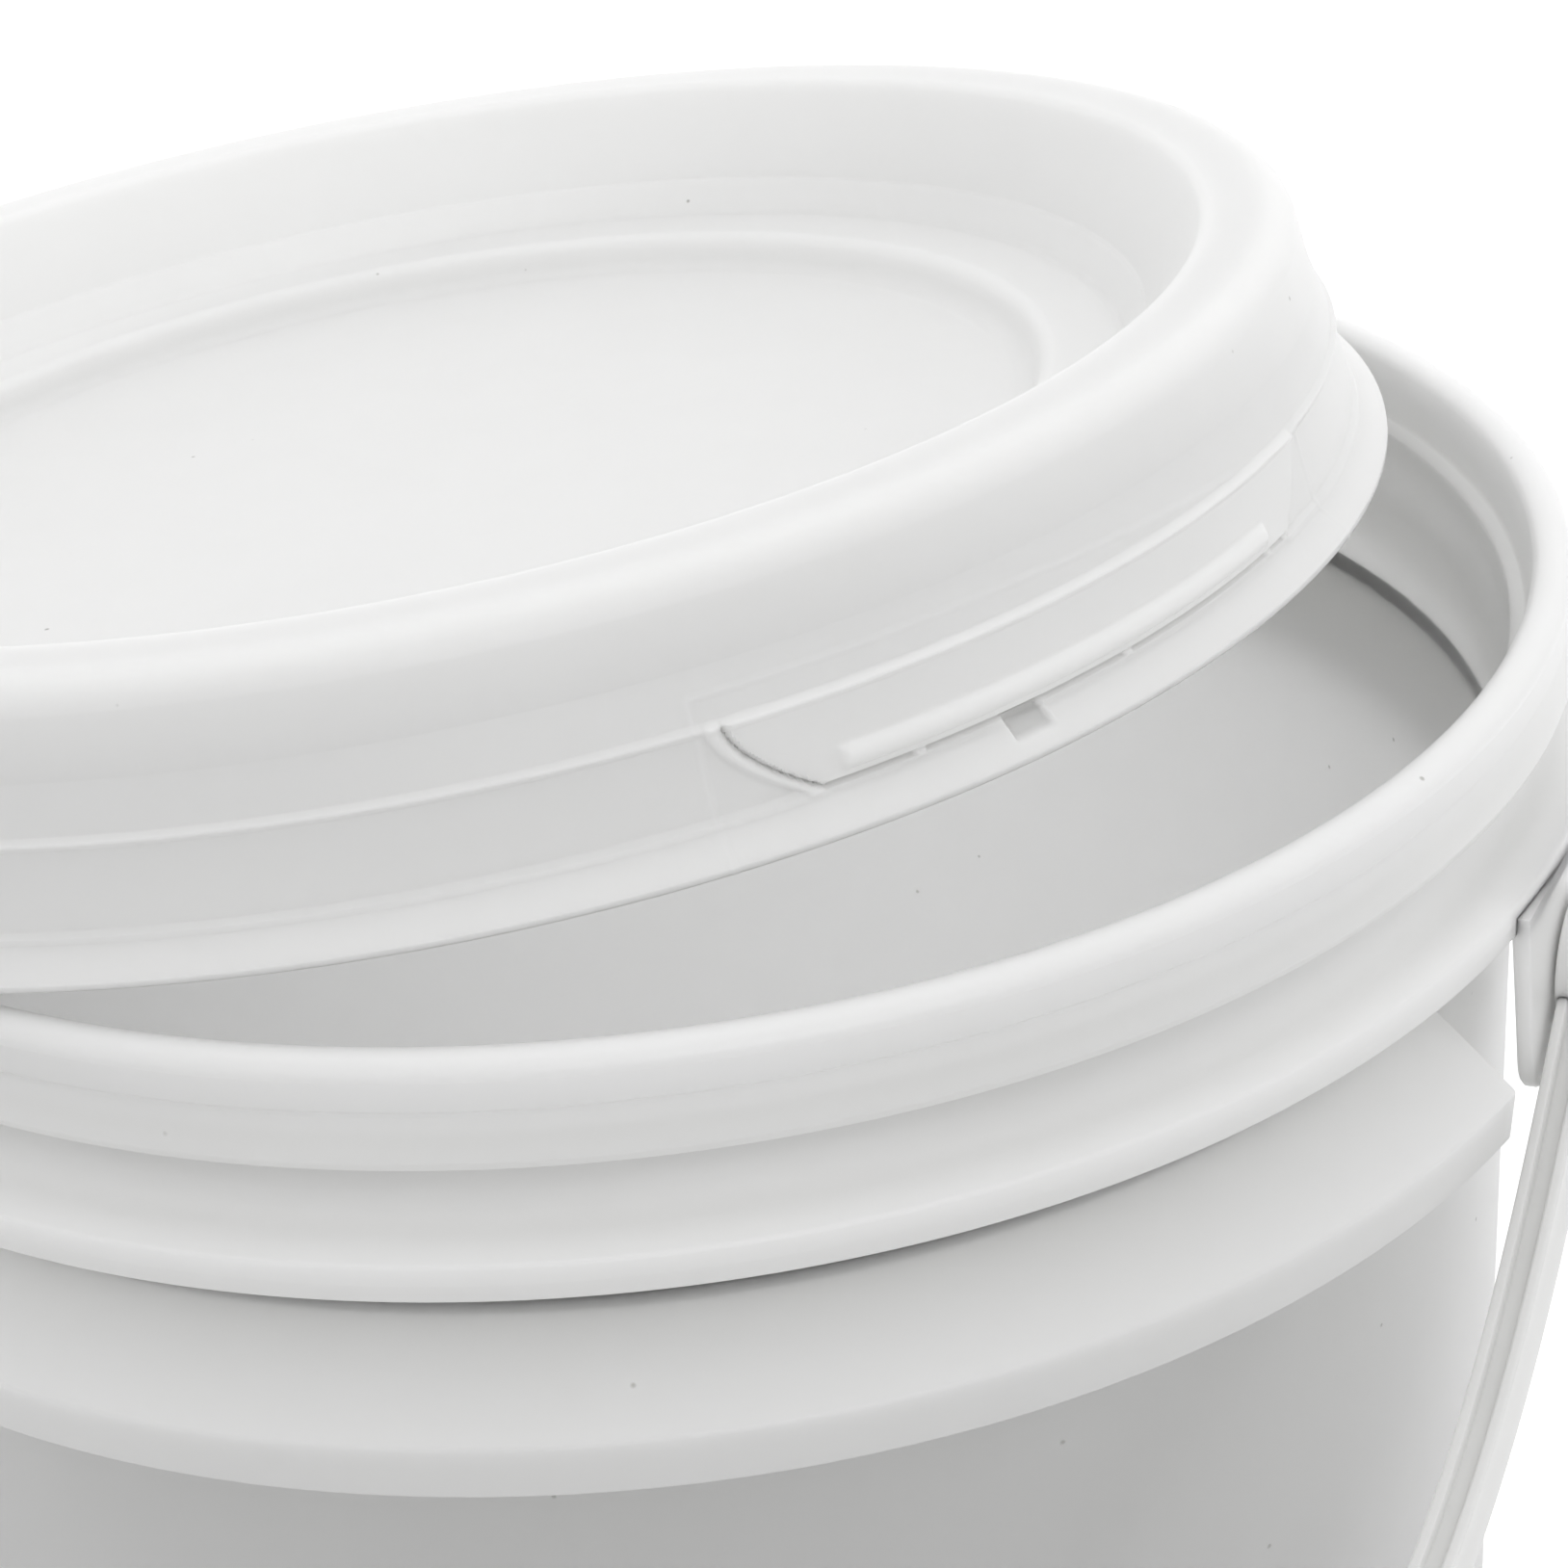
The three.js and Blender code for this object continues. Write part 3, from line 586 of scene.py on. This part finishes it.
rows = len(line)
thread_faces = []
for k in range(thread_sides):
    near = k * rows
    far = (k + 1) % thread_sides * rows
    for i in range(rows):
        j = (i + 1) % rows
        thread_faces.append((near + i, far + i, far + j, near + j))

neck_line = rounded([
    (shank_bore_radius, flange_back - 0.5, 0),
    (shank_root, flange_back - 0.5, 0),
    (shank_root, flange_back, 0),
    (flange_radius, flange_back, 0.5),
    (flange_radius - 1, flange_front, 0.8),
    (neck_outer_radius, flange_front, 1.8),
    (neck_outer_radius, plug_axis, 0),
    (inlet_radius, plug_axis, 0),
    (inlet_radius, flange_back + 1, 0.5),
    (shank_bore_radius, flange_back + 1, 0),
])
housing_top = housing_height / 2
housing_line = rounded([
    (outlet_radius, -housing_top - spout_length, 0.5),
    (spout_radius, -housing_top - spout_length, 0.7),
    (spout_radius + 0.2, -housing_top - spout_length + 2.4, 0.2),
    (spout_radius - 0.2, -housing_top - spout_length + 2.8, 0.2),
    (spout_radius + 0.9, -housing_top, 1.2),
    (housing_radius, -housing_top, 1.4),
    (housing_radius, housing_top - 3.4, 0.2),
    (housing_radius - 0.5, housing_top - 3.0, 0.2),
    (housing_radius - 0.5, housing_top, 0.8),
    (plug_bore_radius, housing_top, 0.4),
    (plug_bore_radius, -housing_top + bore_floor, 0.2),
    (outlet_radius, -housing_top + bore_floor, 0.3),
])


def upright(points_and_faces):
    """Moves a shell about Z to the plug's axis, its height 0 at the shank's."""
    points, faces = points_and_faces
    place = Vector((0, -plug_axis, tap_height))
    return [tuple(place + Vector(point)) for point in points], faces


tap_white = moulded_plastic(
    "moulded acetal, semi-gloss", "#ebeae6", "#e7e6e1", 0.26, 1.2 * mm, speck_spacing=22 * mm
)
tap_body = piece(
    "tap_body_moulding",
    [
        lying((thread_points, thread_faces)),
        lying(turned(neck_line, even(0, 360, 96))),
        upright(turned(housing_line, even(0, 360, 96))),
    ],
    "bucket_body", ["tap_body"],
)
tap_body.data.materials.append(tap_white)


# Backnut: a hexagon nut in the same white plastic, screwed onto the shank inside the bucket. Both
# of its ends are chamfered round the corners.

nut_across_flats = 38.0
nut_front = washer_back - seat_gap
nut_back = nut_front - nut_thickness
nut_ease = 0.3
bore_chamfer = 0.5
nut_chamfer_radius = nut_across_flats / 2 + nut_ease
nut_sides = 144
nut_points = []
for k in range(nut_sides):
    angle = math.tau * k / nut_sides
    off_flat = (angle + math.pi / 6) % (math.pi / 3) - math.pi / 6
    corner = nut_across_flats / 2 / math.cos(off_flat)
    drop = max(0.0, corner - nut_chamfer_radius) * math.tan(math.radians(30)) + nut_ease
    face = min(corner, nut_chamfer_radius) - nut_ease
    for radius, height in (
        (shank_hole_radius, nut_back + bore_chamfer),
        (shank_hole_radius + bore_chamfer, nut_back),
        (face, nut_back),
        (corner, nut_back + drop),
        (corner, nut_front - drop),
        (face, nut_front),
        (shank_hole_radius + bore_chamfer, nut_front),
        (shank_hole_radius, nut_front - bore_chamfer),
    ):
        nut_points.append((radius * math.sin(angle), radius * math.cos(angle), height))
rows = len(nut_points) // nut_sides
nut_faces = []
for k in range(nut_sides):
    near = k * rows
    far = (k + 1) % nut_sides * rows
    for i in range(rows):
        j = (i + 1) % rows
        nut_faces.append((near + i, far + i, far + j, near + j))
backnut = piece(
    "backnut_moulding", [lying((nut_points, nut_faces))], "bucket_body", ["backnut"]
)
backnut.data.materials.append(tap_white)


# Plug with its lever: a white barrel, hollow from below, moulded in the same plastic. It turns in
# the housing on two rubber rings. At rest it is shut, its waisted lever across the tap.

plug_radius = 7.6
plug_foot = -housing_top + 3.3
plug_shoulder = housing_top + seat_gap
plug_port_radius = 4.4
ring_offset = 8.6
ring_section = 0.95
groove_radius = 5.9
groove_half_width = 1.07
o_ring_play = 0.12
cap_radius = 10.5
cap_thickness = 2.2
stem_radius = 6.2
stem_top = plug_shoulder + 5.7
lever_length = 44.0
lever_width = 11.0
lever_waist = 7.0
lever_thickness = 5.5

plug_corners = [(plug_port_radius, plug_foot, 0.3), (plug_radius, plug_foot, 0.5)]
for middle in (-ring_offset, ring_offset):
    plug_corners += [
        (plug_radius, middle - groove_half_width, 0.1),
        (groove_radius, middle - groove_half_width, 0.1),
        (groove_radius, middle + groove_half_width, 0.1),
        (plug_radius, middle + groove_half_width, 0.1),
    ]
plug_corners += [
    (plug_radius, plug_shoulder, 0.2),
    (cap_radius, plug_shoulder, 0.3),
    (cap_radius, plug_shoulder + cap_thickness, 0.6),
    (stem_radius + 0.2, plug_shoulder + cap_thickness, 0.8),
    (stem_radius, stem_top + 1, 0.2),
    (0, stem_top + 1, 0),
    (0, plug_port_radius, 0),
    (plug_port_radius, plug_port_radius - 1.5, 0.8),
]
plug_line = rounded(plug_corners, steps=4)

lever_outline = []
half_length = lever_length / 2
half_width = lever_width / 2
for end in (1, -1):
    for angle in even(-90, 90, 16):
        lever_outline.append(Vector((
            end * (half_length - half_width + half_width * math.cos(math.radians(angle))),
            end * half_width * math.sin(math.radians(angle)),
        )))
    for share in even(0, 1, 16)[1:-1]:
        waist = 4 * share * (1 - share) * (half_width - lever_waist / 2) * 0.9
        lever_outline.append(Vector((
            end * (half_length - half_width) * (1 - 2 * share),
            end * (half_width - waist),
        )))
lever_levels = [
    (0.0, 1.0), (0.15, 0.45), (0.55, 0.12), (1.1, 0.0),
    (lever_thickness - 1.3, 0.0), (lever_thickness - 0.7, 0.15), (lever_thickness - 0.2, 0.55),
    (lever_thickness, 1.3),
]
lever_points = []
for level, inset in lever_levels:
    for corner in lever_outline:
        across = corner.y * (1 - inset / half_width)
        along = corner.x * (1 - inset / half_length)
        lever_points.append((along, across, stem_top + level))
count = len(lever_outline)
lever_faces = []
for row in range(len(lever_levels) - 1):
    low, high = row * count, (row + 1) * count
    for i in range(count):
        j = (i + 1) % count
        lever_faces.append((low + i, low + j, high + j, high + i))
lever_faces.append(tuple(range(count)))
lever_faces.append(tuple(range((len(lever_levels) - 1) * count, len(lever_levels) * count)))
plug = piece(
    "plug_moulding",
    [
        upright(turned(plug_line, even(0, 360, 72))),
        upright((lever_points, lever_faces)),
    ],
    "plug_body", ["tap_plug"],
)
plug.data.materials.append(tap_white)

ring_middle = plug_bore_radius - o_ring_play - ring_section
for name, middle in (("plug_o_ring_lower", -ring_offset), ("plug_o_ring_upper", ring_offset)):
    ring_line = [
        Vector((
            ring_middle + ring_section * math.cos(math.radians(angle)),
            middle + ring_section * math.sin(math.radians(angle)),
        ))
        for angle in even(0, 360, 16)[:-1]
    ]
    o_ring = piece(
        name + "_rubber", [upright(turned(ring_line, even(0, 360, 64)))], "plug_body", [name]
    )
    o_ring.data.materials.append(rubber)


# Handle: a strap moulded in white polypropylene, with a flange along each edge and a groove down
# each side. Each end is a disc with a split peg that snaps through the ear.

strap_depth = 5.5
strap_breadth = 11.0
strap_flange = 1.7
strap_groove = 1.4
handle_gap = 0.5
strap_setback = 0.4
handle_half_width = ring_radius + handle_gap + strap_setback + strap_depth
grip_above_tap = 46.0
handle_squareness = 3.2
hub_radius = 9.5
peg_radius = 4.2

half_breadth = strap_breadth / 2
half_depth = strap_depth / 2
grip_height = tap_height + grip_above_tap
grip_wall = wall_radius(grip_height) + seat_gap
grip_edge_reach = math.hypot(pivot_height - grip_height, grip_wall)
handle_reach = math.sqrt(grip_edge_reach**2 - half_breadth**2) + strap_depth
groove_half = half_depth - strap_flange
strap_quarter = [
    (-half_breadth, -half_depth, 0.45),
    (half_breadth, -half_depth, 0.45),
    (half_breadth, -groove_half - 0.3, 0.3),
    (half_breadth - strap_groove, -groove_half, 0.3),
]
strap_section = rounded(
    strap_quarter
    + [(x, -y, f) for x, y, f in reversed(strap_quarter[1:])]
    + [(-x, -y, f) for x, y, f in strap_quarter[1:]]
    + [(-x, y, f) for x, y, f in reversed(strap_quarter[2:])],
    steps=3,
)


def strap_point(share):
    """Middle line of the strap from pivot to pivot: straight sides and a round grip."""
    angle = math.pi * share
    power = 2 / handle_squareness
    across = math.copysign(abs(math.cos(angle)) ** power, math.cos(angle))
    down = abs(math.sin(angle)) ** power
    return Vector((
        (handle_half_width - half_depth) * across, 0, -(handle_reach - half_depth) * down
    ))


strap_steps = 240
strap_line = []
for k in range(strap_steps + 1):
    share = 0.5 - 0.5 * math.cos(math.pi * k / strap_steps)
    strap_line.append(strap_point(share))
strap_line[-1].z = 0
strap_points = []
for k, middle in enumerate(strap_line):
    before = strap_line[max(k - 1, 0)]
    after = strap_line[min(k + 1, strap_steps)]
    run = (after - before).normalized()
    outward = Vector((-run.z, 0, run.x))
    for across, deep in strap_section:
        strap_points.append(tuple(middle + Vector((0, across, 0)) + outward * deep))
rows = len(strap_section)
strap_faces = []
for k in range(strap_steps):
    near, far = k * rows, (k + 1) * rows
    for i in range(rows):
        j = (i + 1) % rows
        strap_faces.append((near + i, far + i, far + j, near + j))
strap_faces.append(tuple(range(rows)))
strap_faces.append(tuple(range(strap_steps * rows, (strap_steps + 1) * rows)))
handle_shells = [(strap_points, strap_faces)]

hub_face = ring_radius + handle_gap
ear_inside = ring_radius - ear_thickness
dish_floor = handle_half_width - 0.7
hub_line = rounded([
    (0, hub_face, 0),
    (hub_radius, hub_face, 0.4),
    (hub_radius - 0.4, handle_half_width, 0.9),
    (hub_radius - 2.6, handle_half_width, 0.3),
    (hub_radius - 3.2, dish_floor, 0.3),
    (0, dish_floor, 0),
])
head_top = ear_inside - handle_gap
head_tip = head_top - 2.2
peg_root = hub_face + 0.6
peg_line = rounded([
    (0, head_tip, 0),
    (peg_radius - 0.6, head_tip, 0.4),
    (peg_radius + 1.6, head_top - 0.3, 0.3),
    (peg_radius + 1.3, head_top, 0.2),
    (peg_radius, head_top, 0.1),
    (peg_radius, peg_root, 0),
    (0, peg_root, 0),
])
peg_half_slot = 11.0
for side in (1, -1):
    for line, first, last, steps in (
        (hub_line, 0, 360, 64),
        (peg_line, peg_half_slot, 180 - peg_half_slot, 28),
        (peg_line, 180 + peg_half_slot, 360 - peg_half_slot, 28),
    ):
        points, faces = turned(line, even(first, last, steps), closed=False)
        handle_shells.append(([(side * z, x, y) for x, y, z in points], faces))

edge_angle = math.atan2(half_breadth, handle_reach - strap_depth)
lean = edge_angle + math.asin(grip_wall / grip_edge_reach)
handle_place = Matrix.Translation((0, 0, pivot_height)) @ Matrix.Rotation(-lean, 4, "X")
handle = piece("handle_moulding", handle_shells, "handle_body", ["handle"], handle_place)
handle.data.materials.append(
    moulded_plastic("moulded polypropylene, strap", "#e6e6e5", "#e2e2e1", 0.3, 3 * mm)
)


# Lid: one white polypropylene moulding with a flat crown, a recessed panel and a skirt with two
# ridges. A tear strip is moulded into the skirt: a panel between two slits, with a grip rib, a
# row of small bridges over a slot and a window. It lies askew, its ledge on the far side's rim.

lid_radius = rim_radius + 9.0
lid_height = 34.6
lid_skin = 1.6
low_ridge_radius = lid_radius - 4.4
low_ridge_height = 4.9
high_ridge_radius = lid_radius - 6.2
high_ridge_height = 16.0
ridge_proud = 0.5
shoulder_radius = lid_radius - 8.4
shoulder_height = 22.8
crown_radius = lid_radius - 13.0
crown_inner_radius = crown_radius - 11.0
lid_shift = 35.5
lid_heading = math.radians(166.4)
rest_radius = rim_radius - lid_shift
ledge_radius = rest_radius + 8.1
ledge_inner_radius = rest_radius - 3.3
ledge_height = 15.2
panel_radius = ledge_inner_radius - 2.6
panel_height = 10.0

step_lean = (ledge_inner_radius - panel_radius) / (ledge_height - panel_height)
step_skin = lid_skin * (math.hypot(1, step_lean) - step_lean)
skirt_corners = [
    (lid_radius, 0, 0.25),
    (lid_radius, 0.9, 0.3),
    (low_ridge_radius + 0.75, low_ridge_height - 0.7, 0.5),
    (low_ridge_radius + ridge_proud, low_ridge_height, 0.35),
    (low_ridge_radius - 0.1, low_ridge_height + 0.8, 0.5),
    (high_ridge_radius + 0.1, high_ridge_height - 0.8, 0.5),
    (high_ridge_radius + ridge_proud, high_ridge_height, 0.4),
    (high_ridge_radius - 0.35, high_ridge_height + 0.8, 0.5),
    (shoulder_radius, shoulder_height, 1.6),
]
crown_corners = [
    (crown_radius + 2.6, lid_height, 4.6),
    (crown_inner_radius + 1.4, lid_height, 2.6),
    (ledge_radius + 4.2, 20.4, 0.8),
    (ledge_radius + 3.7, 20.0, 0.6),
    (ledge_radius, ledge_height, 2.0),
    (ledge_inner_radius, ledge_height, 3.0),
    (panel_radius, panel_height, 4.0),
    (0, panel_height, 0),
]
under_corners = [
    (0, panel_height - lid_skin, 0),
    (panel_radius + step_skin, panel_height - lid_skin, 5.6),
    (ledge_inner_radius + step_skin, ledge_height - lid_skin, 1.4),
    (ledge_radius + 0.8, ledge_height - lid_skin, 0.8),
    (crown_inner_radius + lid_skin, lid_height - lid_skin - 1.6, 0.6),
    (crown_inner_radius + 3.4, lid_height - lid_skin, 0.6),
    (crown_radius - 2.4, lid_height - lid_skin, 0.6),
    (crown_radius, lid_height - lid_skin - 1.4, 0.6),
    (shoulder_radius - lid_skin, shoulder_height, 1),
    (high_ridge_radius - lid_skin, high_ridge_height, 1),
    (low_ridge_radius - lid_skin, low_ridge_height, 1),
    (lid_radius - lid_skin, 0, 0.2),
]
lid_line = []
corner_line = rounded(skirt_corners + crown_corners + under_corners, steps=5)
skirt_grid = 0.34
skirt_rows = 0
for i, corner in enumerate(corner_line):
    ahead = corner_line[(i + 1) % len(corner_line)]
    on_skirt = i < 6 * len(skirt_corners)
    parts = max(1, math.ceil((ahead - corner).length / skirt_grid)) if on_skirt else 1
    lid_line += [corner.lerp(ahead, k / parts) for k in range(parts)]
    if on_skirt:
        skirt_rows = len(lid_line)

tear_left = -45.0
tear_right = 1.0
rib_left = -38.0
rib_right = -6.5
rib_height = 8.1
rib_half_height = 1.5
slit_top = 15.6
slit_drop = 10.4
slot_left = -39.2
slot_right = -4.2
slot_height = 5.3
bridges = (-33.8, -19.9, -6.2)
window_left = -28.8
window_right = -26.4
degrees_per_mm = math.degrees(1 / low_ridge_radius)


def ease(edge, width, value):
    """Rises from 0 to 1 as value passes edge, over a width."""
    share = min(1.0, max(0.0, (value - edge) / width + 0.5))
    return share * share * (3 - 2 * share)


def groove(distance, width):
    """1 on a line, falling to 0 at a width from it."""
    return 1 - ease(width / 2, width / 2, abs(distance))


def tear_strip(row, degrees, height):
    """How far the tear strip stands out from the plain skirt, in millimetres."""
    if row >= skirt_rows:
        return 0.0
    along = (degrees + 180) % 360 - 180
    if not tear_left - 2 < along < tear_right + 2:
        return 0.0
    moved = 0.0
    # The slit at the left runs down in a quarter round, and the one at the right leans back
    fall = min(1.0, max(0.0, (slit_top - height) / slit_drop))
    left_slit = -43.6 + 4.4 * fall**1.7
    right_slit = -0.3 - 3.6 * fall**1.6
    in_left = ease(left_slit, 0.3, along)
    in_right = 1 - ease(right_slit, 0.3, along)
    inside = in_left * in_right
    between = ease(4.9, 0.8, height) * (1 - ease(16.4, 0.8, height))
    moved += 0.55 * inside * between
    # A lip follows the left slit and turns the upper ridge down into the lower one
    lip = groove((along - left_slit) / degrees_per_mm + 1.5, 1.5) * between
    moved += 0.55 * lip
    for slit in (left_slit, right_slit):
        cut = groove((along - slit) / degrees_per_mm, 0.55)
        moved -= 1.1 * cut * ease(5.2, 0.5, height) * (1 - ease(15.8, 0.6, height))
    # Grip rib with a round back
    on_rib = ease(rib_left, 0.8, along) * (1 - ease(rib_right, 0.8, along))
    rise = max(0.0, 1 - ((height - rib_height) / rib_half_height) ** 2)
    moved += 1.05 * on_rib * math.sqrt(rise)
    # Slot under the strip, with bridges left in it and a window for a finger nail
    in_slot = ease(slot_left, 0.3, along) * (1 - ease(slot_right, 0.3, along))
    bridged = max(groove((along - bridge) / degrees_per_mm, 1.7) for bridge in bridges)
    slot_cut = groove(height - slot_height, 0.75)
    moved -= 1.2 * in_slot * slot_cut * (1 - 0.8 * bridged)
    # The lower ridge stops at the strip
    ridge = groove(height - low_ridge_height, 1.3) * inside * ease(-40, 1, along)
    moved -= 0.3 * ridge
    in_window = ease(window_left, 0.25, along) * (1 - ease(window_right, 0.25, along))
    moved -= 1.15 * in_window * ease(2.5, 0.4, height) * (1 - ease(5.2, 0.4, height))
    # Witness line of the mould's insert round the strip
    top_line = 19.6 - 4.4 * max(0.0, (along + 30) / 32) ** 1.5
    framed = ease(tear_left, 0.3, along) * (1 - ease(tear_right, 0.3, along))
    moved += 0.12 * groove(height - top_line, 0.6) * framed
    for side_line, line_top in ((tear_left, 19.6), (tear_right, 15.4)):
        near_line = groove((along - side_line) / degrees_per_mm, 0.6)
        moved += 0.1 * near_line * (1 - ease(line_top, 0.4, height))
    return moved


lid_angles = even(tear_left - 2, tear_right + 2, 340)
lid_angles += even(tear_right + 2, tear_left - 2 + 360, 176)[1:]
flange = lid_radius - lid_skin / 2
crossing = (rim_radius**2 - flange**2 + lid_shift**2) / (2 * lid_shift)
lid_tilt = math.atan2(ledge_height - lid_skin, rim_radius - crossing)
tilt_axis = Vector((-math.sin(lid_heading), math.cos(lid_heading), 0))
lid_turn = Matrix.Rotation(lid_tilt, 4, tilt_axis)
lid_shell = turned(lid_line, lid_angles, closed=False, offset=tear_strip)
lowest = min((lid_turn @ Vector(point)).z for point in lid_shell[0])
lid_place = Matrix.Translation((
    lid_shift * math.cos(lid_heading),
    lid_shift * math.sin(lid_heading),
    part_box("lid")[0].z / mm - lowest,
)) @ lid_turn
lid = piece("lid_moulding", [lid_shell], "bucket_body", ["lid"], lid_place)
lid.data.materials.append(
    moulded_plastic("moulded polypropylene, satin lid", "#f4f4f3", "#f2f2f1", 0.34, 4 * mm)
)


# Studio: a painted floor that keeps the object's shadow and reads as white to the camera, and an
# even white surround. Weak lamps at the front right and overhead draw the soft glints, and two
# behind the bucket, which nothing mirrors, light its inside through the wall.

half_floor = 4.0
floor_level = -0.0002
floor_mesh = bpy.data.meshes.new("floor")
floor_mesh.from_pydata(
    [(x * half_floor, y * half_floor, floor_level) for x, y in ((-1, -1), (1, -1), (1, 1), (-1, 1))],
    [], [(0, 1, 2, 3)],
)
floor = bpy.data.objects.new("floor", floor_mesh)
bpy.context.scene.collection.objects.link(floor)
floor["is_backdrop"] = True


def seen_directly(tree):
    """1 for rays of the camera, of reflections and through clear things, 0 for those that light."""
    rays = add(tree, "ShaderNodeLightPath").outputs
    mirrored = add(
        tree, "ShaderNodeMath", {"operation": "MAXIMUM"},
        {0: rays["Is Camera Ray"], 1: rays["Is Glossy Ray"]},
    )
    return add(
        tree, "ShaderNodeMath", {"operation": "MAXIMUM"},
        {0: mirrored.outputs[0], 1: rays["Is Transmission Ray"]},
    ).outputs[0]


paint = bpy.data.materials.new("matt floor paint")
paint.use_nodes = True
tree = paint.node_tree
tree.nodes.clear()
spot = add(tree, "ShaderNodeTexCoord").outputs["Object"]
stipple_size = 3 * mm
stipple_depth = 0.02 * mm
stipple = add(tree, "ShaderNodeTexNoise", {"Scale": 1 / stipple_size, "Detail": 3.0}, {"Vector": spot})
rolled = add(
    tree, "ShaderNodeBump", {"Strength": 1.0, "Distance": stipple_depth},
    {"Height": stipple.outputs["Fac"]},
)
matt = add(
    tree, "ShaderNodeBsdfPrincipled",
    {"Base Color": linear("#b4b4b4"), "Roughness": 0.7}, {"Normal": rolled.outputs["Normal"]},
)
lifted = add(tree, "ShaderNodeEmission", {"Color": linear("#ffffff"), "Strength": 0.7})
shown = add(tree, "ShaderNodeMixShader", links={0: seen_directly(tree), 2: lifted.outputs[0]})
both = add(tree, "ShaderNodeAddShader", links={0: matt.outputs["BSDF"], 1: shown.outputs[0]})
add(tree, "ShaderNodeOutputMaterial", links={"Surface": both.outputs[0]})
floor_mesh.materials.append(paint)

world = bpy.data.worlds.new("white surround")
bpy.context.scene.world = world
world.use_nodes = True
tree = world.node_tree
tree.nodes.clear()
surround = add(tree, "ShaderNodeBackground", {"Color": linear("#ffffff"), "Strength": 0.8})
white = add(tree, "ShaderNodeBackground", {"Color": linear("#ffffff"), "Strength": 1.0})
sky = add(
    tree, "ShaderNodeMixShader",
    links={0: seen_directly(tree), 1: surround.outputs[0], 2: white.outputs[0]},
)
add(tree, "ShaderNodeOutputWorld", links={"Surface": sky.outputs[0]})

aim = Vector((0, 0, 0.15))
for name, spot, size, power in (
    ("key", (0.95, -1.1, 0.9), 1.0, 2.0),
    ("top", (-0.1, 0.1, 1.6), 1.6, 3.0),
    ("back", (-0.5, 1.15, 0.35), 1.6, 8.0),
    ("side", (0.95, 0.9, 0.45), 1.0, 3.0),
):
    lamp = bpy.data.lights.new(name, "AREA")
    lamp.shape = "DISK"
    lamp.size = size
    lamp.energy = power
    lamp_object = bpy.data.objects.new(name, lamp)
    lamp_object.location = spot
    lamp_object.visible_glossy = name in ("key", "top")
    lamp_object.rotation_euler = (aim - Vector(spot)).to_track_quat("-Z", "Y").to_euler()
    bpy.context.scene.collection.objects.link(lamp_object)


# Camera: a long lens close over the front right, looking down across the mouth.

camera_data = bpy.data.cameras.new("camera")
camera_data.sensor_width = 36.0
camera_data.lens = 82.5
camera_data.clip_start = 0.01
camera_data.clip_end = 50.0
camera = bpy.data.objects.new("camera", camera_data)
camera.matrix_world = (
    Matrix.Translation((238.3 * mm, -412.7 * mm, 458.1 * mm))
    @ Matrix.Rotation(math.radians(27.22), 4, "Z")
    @ Matrix.Rotation(math.radians(90 - 27.57), 4, "X")
    @ Matrix.Rotation(math.radians(-5.61), 4, "Z")
)
bpy.context.scene.collection.objects.link(camera)
bpy.context.scene.camera = camera
bpy.context.scene.view_settings.view_transform = "Standard"

# The white plastic passes light on many times before it fades
bpy.context.scene.cycles.max_bounces = 24
bpy.context.scene.cycles.diffuse_bounces = 20

low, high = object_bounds()
